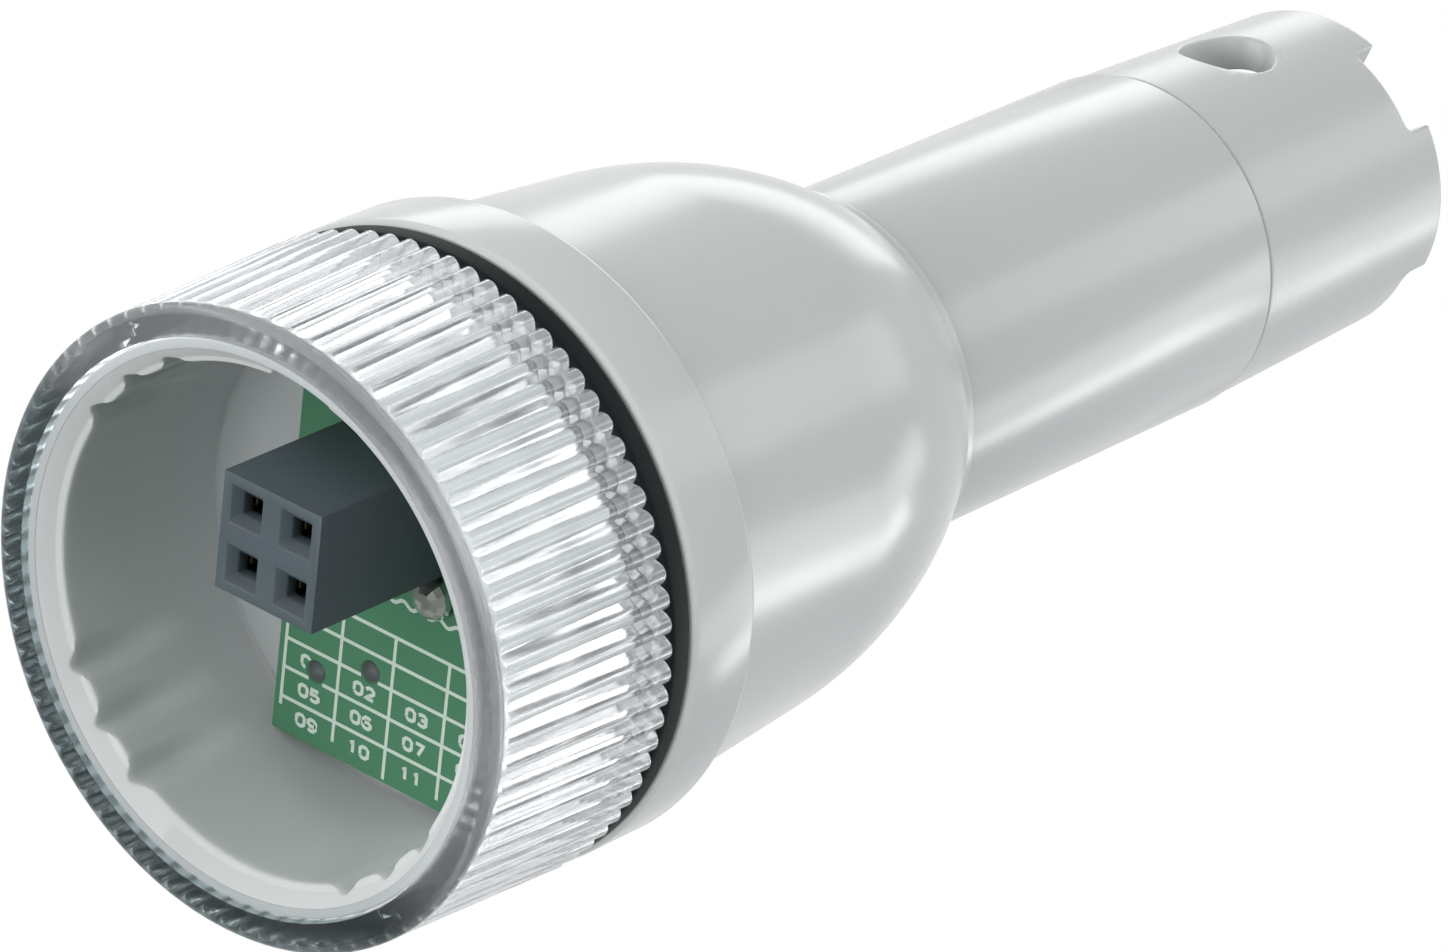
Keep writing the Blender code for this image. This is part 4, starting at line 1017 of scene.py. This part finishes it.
@dataclass
class BoardAndHeader(Assembly):
    """The circuit board at the bottom of the mouth, its legend, and the socket header on it."""

    board_z: float = 8.0 * MM
    board_thickness: float = 1.6 * MM
    rim_radius: float = 10.2 * MM
    left_x: float = -4.9 * MM
    right_x: float = 6.7 * MM
    end_half_width: float = 4.8 * MM
    header_x: float = 0.75 * MM
    header_y: float = -3.75 * MM
    header_front_z: float = 0.2 * MM
    header_height: float = 7.55 * MM
    pitch: float = 2.54 * MM
    funnel_side: float = 1.65 * MM
    funnel_depth: float = 0.4 * MM
    entry_side: float = 0.95 * MM
    cell_side: float = 1.7 * MM
    cell_front: float = 0.95 * MM
    cell_floor: float = 1.1 * MM
    columns: tuple[float, ...] = (-4.5 * MM, -1.65 * MM, 1.1 * MM, 3.92 * MM)
    rows: tuple[float, ...] = (2.47 * MM, 3.64 * MM, 4.80 * MM, 6.09 * MM, 7.42 * MM)
    vias: tuple[tuple[float, float], ...] = ((-2.83 * MM, 5.68 * MM), (-0.07 * MM, 4.5 * MM))
    via_radius: float = 0.45 * MM
    legend_width: float = 0.16 * MM
    legend_step: float = 0.15 * MM
    digit_height: float = 0.48 * MM
    wave_x: tuple[float, float] = (0.55 * MM, 4.33 * MM)
    wave_y: float = 0.88 * MM
    wave_height: float = 0.12 * MM

    def _square(self, x: float, y: float, side: float, z: float) -> Loop:
        """Return a square loop centred on a point."""
        return [Vector((x + sx * side / 2, y + sy * side / 2, z)) for sx, sy in SQUARE]

    def _header(self) -> Item:
        """Build the header block with its funnels."""
        front = self.header_front_z
        rear = front + self.header_height
        side = 2.0 * (self.pitch - 0.01 * MM)
        block = loft("socket_header_block", [
            self._square(self.header_x, self.header_y, side, z) for z in (front, rear)
        ], capped=True)
        over = 0.2 * MM
        wide = self.funnel_side + 2.0 * over * (self.funnel_side - self.entry_side) / (2.0 * self.funnel_depth)
        stations = (
            (front - over, wide), (front + self.funnel_depth, self.entry_side),
            (front + self.cell_front, self.entry_side), (front + self.cell_front, self.cell_side),
            (rear - self.cell_floor, self.cell_side),
        )
        half = self.pitch / 2.0
        cutters = []
        for row in (-1, 1):
            for column in (-1, 1):
                x = self.header_x + column * half
                y = self.header_y + row * half
                cutters.append(loft("contact_cell", [self._square(x, y, side, z) for z, side in stations],
                                    capped=True))
        return smooth(eased(carved(block, cutters), 0.05 * MM, 2, 30.0), 30.0)

    def _board(self) -> Item:
        """Build the board's plate with its holes."""
        front = self.board_z
        rear = front + self.board_thickness
        ends = [(x, math.sqrt(self.rim_radius ** 2 - x ** 2))
                for x in (self.left_x, -self.end_half_width, self.end_half_width, self.right_x)]
        corners = [(x, -y) for x, y in ends] + ends[::-1]
        board = loft("circuit_board_plate", [[Vector((x, y, z)) for x, y in corners] for z in (front, rear)],
                     capped=True)
        hole = [(self.via_radius, front - MM), (self.via_radius, rear + MM)]
        cutters = [loft("via_hole", turned_loops(hole, 24, via), capped=True) for via in self.vias]
        return smooth(eased(carved(board, cutters), 0.06 * MM, 1, 40.0), 30.0)

    def _number(self, digits: str, x: float, y: float) -> list[Outline]:
        """Return the strokes of a number centred on a point."""
        height = self.digit_height
        width = height * 0.86
        gap = height * 0.42
        strokes = []
        start = x - (len(digits) * width + (len(digits) - 1) * gap) / 2.0
        for place, digit in enumerate(digits):
            left = start + place * (width + gap)
            for stroke in DIGITS[digit].split(" / "):
                points = [[float(value) for value in point.split(",")] for point in stroke.split()]
                strokes.append([(left + across * width, y + height * (0.5 - up)) for across, up in points])
        return strokes

    def _strokes(self) -> list[Outline]:
        """Return the legend's lines: the grid, the wavy track above it and the numbers in it."""
        first, second, third, fourth = self.columns
        top, words, years, upper, lower = self.rows
        end_x = self.right_x - 0.1 * MM
        strokes: list[Outline] = [
            [(first, words), (first, lower + 0.4 * MM)], [(second, top), (second, lower + 0.9 * MM)],
            [(third, top), (third, lower + 1.4 * MM)], [(fourth, top), (fourth, lower + 1.1 * MM)],
            [(second, top), (end_x, top)], [(first + 0.6 * MM, words), (end_x, words)],
            *([(first, row), (end_x, row)] for row in (years, upper, lower)),
        ]
        left, right = self.wave_x
        strokes.append([
            (left + (right - left) * step / 24, self.wave_y + self.wave_height * math.sin(step * math.pi / 3.0))
            for step in range(25)
        ])
        centres = [(left + right) / 2.0 for left, right in zip(self.columns, self.columns[1:])]
        number = 0
        for y in ((years + upper) / 2.0, (upper + lower) / 2.0, lower + (lower - upper) / 2.0):
            for x in centres + [fourth + 1.4 * MM]:
                number += 1
                strokes += self._number(f"{number:02d}", x, y)
        return strokes

    def _resampled(self, stroke: Outline) -> list[Vector]:
        """Return a stroke's points with short steps between its corners."""
        points = [Vector(stroke[0])]
        for start, end in zip(stroke, stroke[1:]):
            pieces = max(1, math.ceil(math.dist(start, end) / self.legend_step))
            points += [Vector(start).lerp(Vector(end), piece / pieces) for piece in range(1, pieces + 1)]
        return points

    def _kept(self, point: Vector) -> bool:
        """Return whether a point of the legend lies on the board, clear of its holes."""
        on_board = math.hypot(*point) < self.rim_radius - 0.4 * MM
        return on_board and all(math.dist(point, via) > 0.5 * MM for via in self.vias)

    def _legend(self) -> Item:
        """Build the printed legend as thin flat strokes on the board's front."""
        shape = bmesh.new()
        for number, stroke in enumerate(self._strokes()):
            z = self.board_z - 0.012 * MM - number * 0.0002 * MM
            points = self._resampled(stroke)
            last = len(points) - 1
            edges = []
            for index, point in enumerate(points):
                before = (point - points[index - 1]).normalized() if index else Vector((0.0, 0.0))
                after = (points[index + 1] - point).normalized() if index < last else Vector((0.0, 0.0))
                along = (before + after).normalized()
                mitre = 1.0 / max(0.7, along.dot(after if index < last else before))
                side = Vector((-along.y, along.x)) * (self.legend_width / 2.0) * mitre
                edges.append((point - side, point + side))
            for index in range(last):
                if self._kept(points[index]) and self._kept(points[index + 1]):
                    corners = (edges[index][0], edges[index + 1][0], edges[index + 1][1], edges[index][1])
                    shape.faces.new([shape.verts.new((*corner, z)) for corner in corners])
        for face in shape.faces:
            face.normal_update()
            if face.normal.z > 0.0:
                face.normal_flip()
        return from_bmesh("board_legend", shape)

    def build(self) -> list[Item]:
        """Build the header, the board, its legend and the fills of its holes."""
        pieces = [
            dressed(self._header(), self.palette.header, ("socket_header",)),
            dressed(self._board(), self.palette.laminate, ("circuit_board",)),
            dressed(self._legend(), self.palette.legend),
        ]
        outline = [(radius * MM, self.board_z + depth * MM) for radius, depth in
                   ((0.3, 0.25), (0.445, 0.05), (0.445, 1.2), (0.01, 1.2), (0.01, 0.3))]
        for number, via in enumerate(self.vias, start=1):
            fill = loft(f"via_fill_{number}", turned_loops(outline, 24, via))
            pieces.append(dressed(smooth(fill, 60.0), self.palette.via_fill))
        return pieces


@dataclass
class InnerPieces(Assembly):
    """The CAD nodes that keep their shape and get a finish."""

    insulation: dict[str, Colour] = field(default_factory=lambda: {
        "lead_wire_1": (0.7, 0.7, 0.68), "lead_wire_2": (0.02, 0.02, 0.02),
        "lead_wire_3": (0.45, 0.02, 0.02), "lead_wire_4": (0.6, 0.45, 0.03),
    })

    def build(self) -> list[Item]:
        """Dress the nodes."""
        palette = self.palette
        finishes: dict[str, Finish] = {
            "o_ring_1": palette.gasket, "o_ring_2": palette.gasket, "rear_plug": palette.gasket,
            "front_seal": palette.epoxy, "potting": palette.epoxy, "glass_electrode": palette.glass,
            "glass_inner_wire": palette.silver, "reference_wire": palette.silver,
            "reference_junction": palette.ceramic, "thermistor": palette.steel,
        }
        for number in range(1, 5):
            finishes[f"contact_{number}"] = palette.contact
            finishes[f"pin_solder_{number}"] = palette.solder
            finishes[f"wire_solder_{number}"] = palette.solder
        for name, colour in self.insulation.items():
            tint = tuple(value * 0.8 for value in colour)
            finishes[name] = MouldedPlastic(f"{name} insulation", colour, 0.45, tint)
        return [smooth(painted(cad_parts[name], finish.material())) for name, finish in finishes.items()]


# Studio


@dataclass(frozen=True)
class Panel:
    """A soft lamp panel that faces the electrode.

    Its direction is given in the camera's right, up and near directions, and its width lies along the stem.
    """

    name: str
    direction: tuple[float, float, float]
    width: float
    height: float
    power: float


@dataclass(frozen=True)
class Studio:
    """Camera, lamps, backdrop and floor."""

    camera_place: tuple[float, float, float] = (0.1823342, -0.1497967, -0.2131729)
    camera_right: tuple[float, float, float] = (0.761353, -0.106732, 0.639491)
    camera_up: tuple[float, float, float] = (-0.363311, -0.887176, 0.284473)
    lens_mm: float = 205.7793
    sensor_mm: float = 36.0
    target: tuple[float, float, float] = (0.0, 0.0, 0.03)
    panel_distance: float = 0.4
    fill_low: Colour = (0.195, 0.205, 0.23)
    fill_high: Colour = (0.335, 0.335, 0.332)
    fill_up: tuple[float, float, float] = (-0.406, 0.914, 0.0)
    panels: tuple[Panel, ...] = (
        Panel("top_streak", (0.078, 0.669, -0.739), 0.4, 0.12, 0.385),
        Panel("bell_streak", (0.817, -0.321, -0.479), 0.14, 0.05, 0.19),
        Panel("side_streak", (0.914, -0.233, -0.333), 0.3, 0.08, 0.27),
        Panel("side_band", (0.917, 0.391, -0.08), 0.4, 0.13, 0.38),
        Panel("mouth_top", (-0.35, 0.5, 0.8), 0.3, 0.3, 0.58),
        Panel("mouth_left", (-0.9, 0.25, 0.3), 0.3, 0.3, 0.73),
        Panel("mouth_low", (-0.6, -0.2, 0.75), 0.2, 0.2, 0.94),
    )

    def _basis(self) -> Matrix:
        """Return the camera's rotation, with columns right, up and back."""
        right = Vector(self.camera_right)
        up = Vector(self.camera_up)
        return Matrix((right, up, right.cross(up))).transposed()

    def _placed(self, data: bpy.types.ID, place: Vector, turn: Matrix) -> Item:
        """Add an object for a camera or a lamp at a place, with a rotation."""
        item = bpy.data.objects.new(data.name, data)
        item.matrix_world = Matrix.Translation(place) @ turn.to_4x4()
        bpy.context.scene.collection.objects.link(item)
        return item

    def _camera(self) -> None:
        """Place the photograph's camera."""
        data = bpy.data.cameras.new("photo_camera")
        data.lens = self.lens_mm
        data.sensor_width = self.sensor_mm
        data.sensor_fit = "HORIZONTAL"
        data.clip_start = 0.01
        data.clip_end = 20.0
        bpy.context.scene.camera = self._placed(data, Vector(self.camera_place), self._basis())

    def _lamp(self, panel: Panel) -> None:
        """Place one panel."""
        data = bpy.data.lights.new(panel.name, "AREA")
        data.shape = "RECTANGLE"
        data.size = panel.width
        data.size_y = panel.height
        data.energy = panel.power
        away = (self._basis() @ Vector(panel.direction)).normalized()
        along = (Vector((0.0, 0.0, 1.0)) - away * away.z).normalized()
        turn = Matrix((along, away.cross(along), away)).transposed()
        self._placed(data, Vector(self.target) + away * self.panel_distance, turn).visible_camera = False

    def _world(self) -> None:
        """Make the even pale surroundings, which look white to the camera and in gloss and clear plastic."""
        world = bpy.data.worlds.new("studio")
        bpy.context.scene.world = world
        world.use_nodes = True
        nodes = NodeTree(world.node_tree)
        path = nodes.add("LightPath").outputs
        place = nodes.add("TexCoord").outputs["Generated"]
        up = tuple(self._basis() @ Vector(self.fill_up))
        rise = nodes.vector("DOT_PRODUCT", place, up).outputs["Value"]
        share = nodes.math("MULTIPLY_ADD", rise, 0.5, 0.5)
        fill = nodes.tree.nodes["Background"]
        nodes.fill(fill, {"Color": nodes.blend(share, self.fill_low, self.fill_high), "Strength": 1.0})
        white = nodes.add("Background", {"Color": (1.0, 1.0, 1.0), "Strength": 1.0})
        clear = nodes.math("MAXIMUM", path["Is Camera Ray"], path["Is Transmission Ray"])
        clear = nodes.math("MAXIMUM", clear, path["Is Glossy Ray"])
        nodes.surface(clear, fill, white, "World Output")

    def _floor(self) -> None:
        """Make the pale floor, which can't be seen from below."""
        shape = bmesh.new()
        bmesh.ops.create_grid(shape, x_segments=1, y_segments=1, size=1.5)
        floor = from_bmesh("studio_floor", shape)
        floor.location.z = -0.0002
        floor.visible_shadow = False
        material, shader, nodes = Finish("pale floor", (0.86, 0.86, 0.86), 0.6).start()
        facing = nodes.add("NewGeometry").outputs["Backfacing"]
        nodes.surface(facing, shader, nodes.add("BsdfTransparent"))
        painted(floor, material)

    def build(self) -> None:
        """Build the studio."""
        self._camera()
        for panel in self.panels:
            self._lamp(panel)
        self._world()
        self._floor()
        bpy.context.scene.view_settings.view_transform = "Standard"


def main() -> None:
    """Build the electrode's looks and the studio."""
    logging.basicConfig(level=logging.INFO, format="%(message)s")
    palette = Palette()
    Studio().build()
    for kind in (CouplingRing, Housing, StemAndGuard, BoardAndHeader, InnerPieces):
        for piece in kind(palette).build():
            log.info("%s: %s with %d faces", kind.__name__, piece.name, len(piece.data.polygons))


if __name__ == "__main__":
    main()
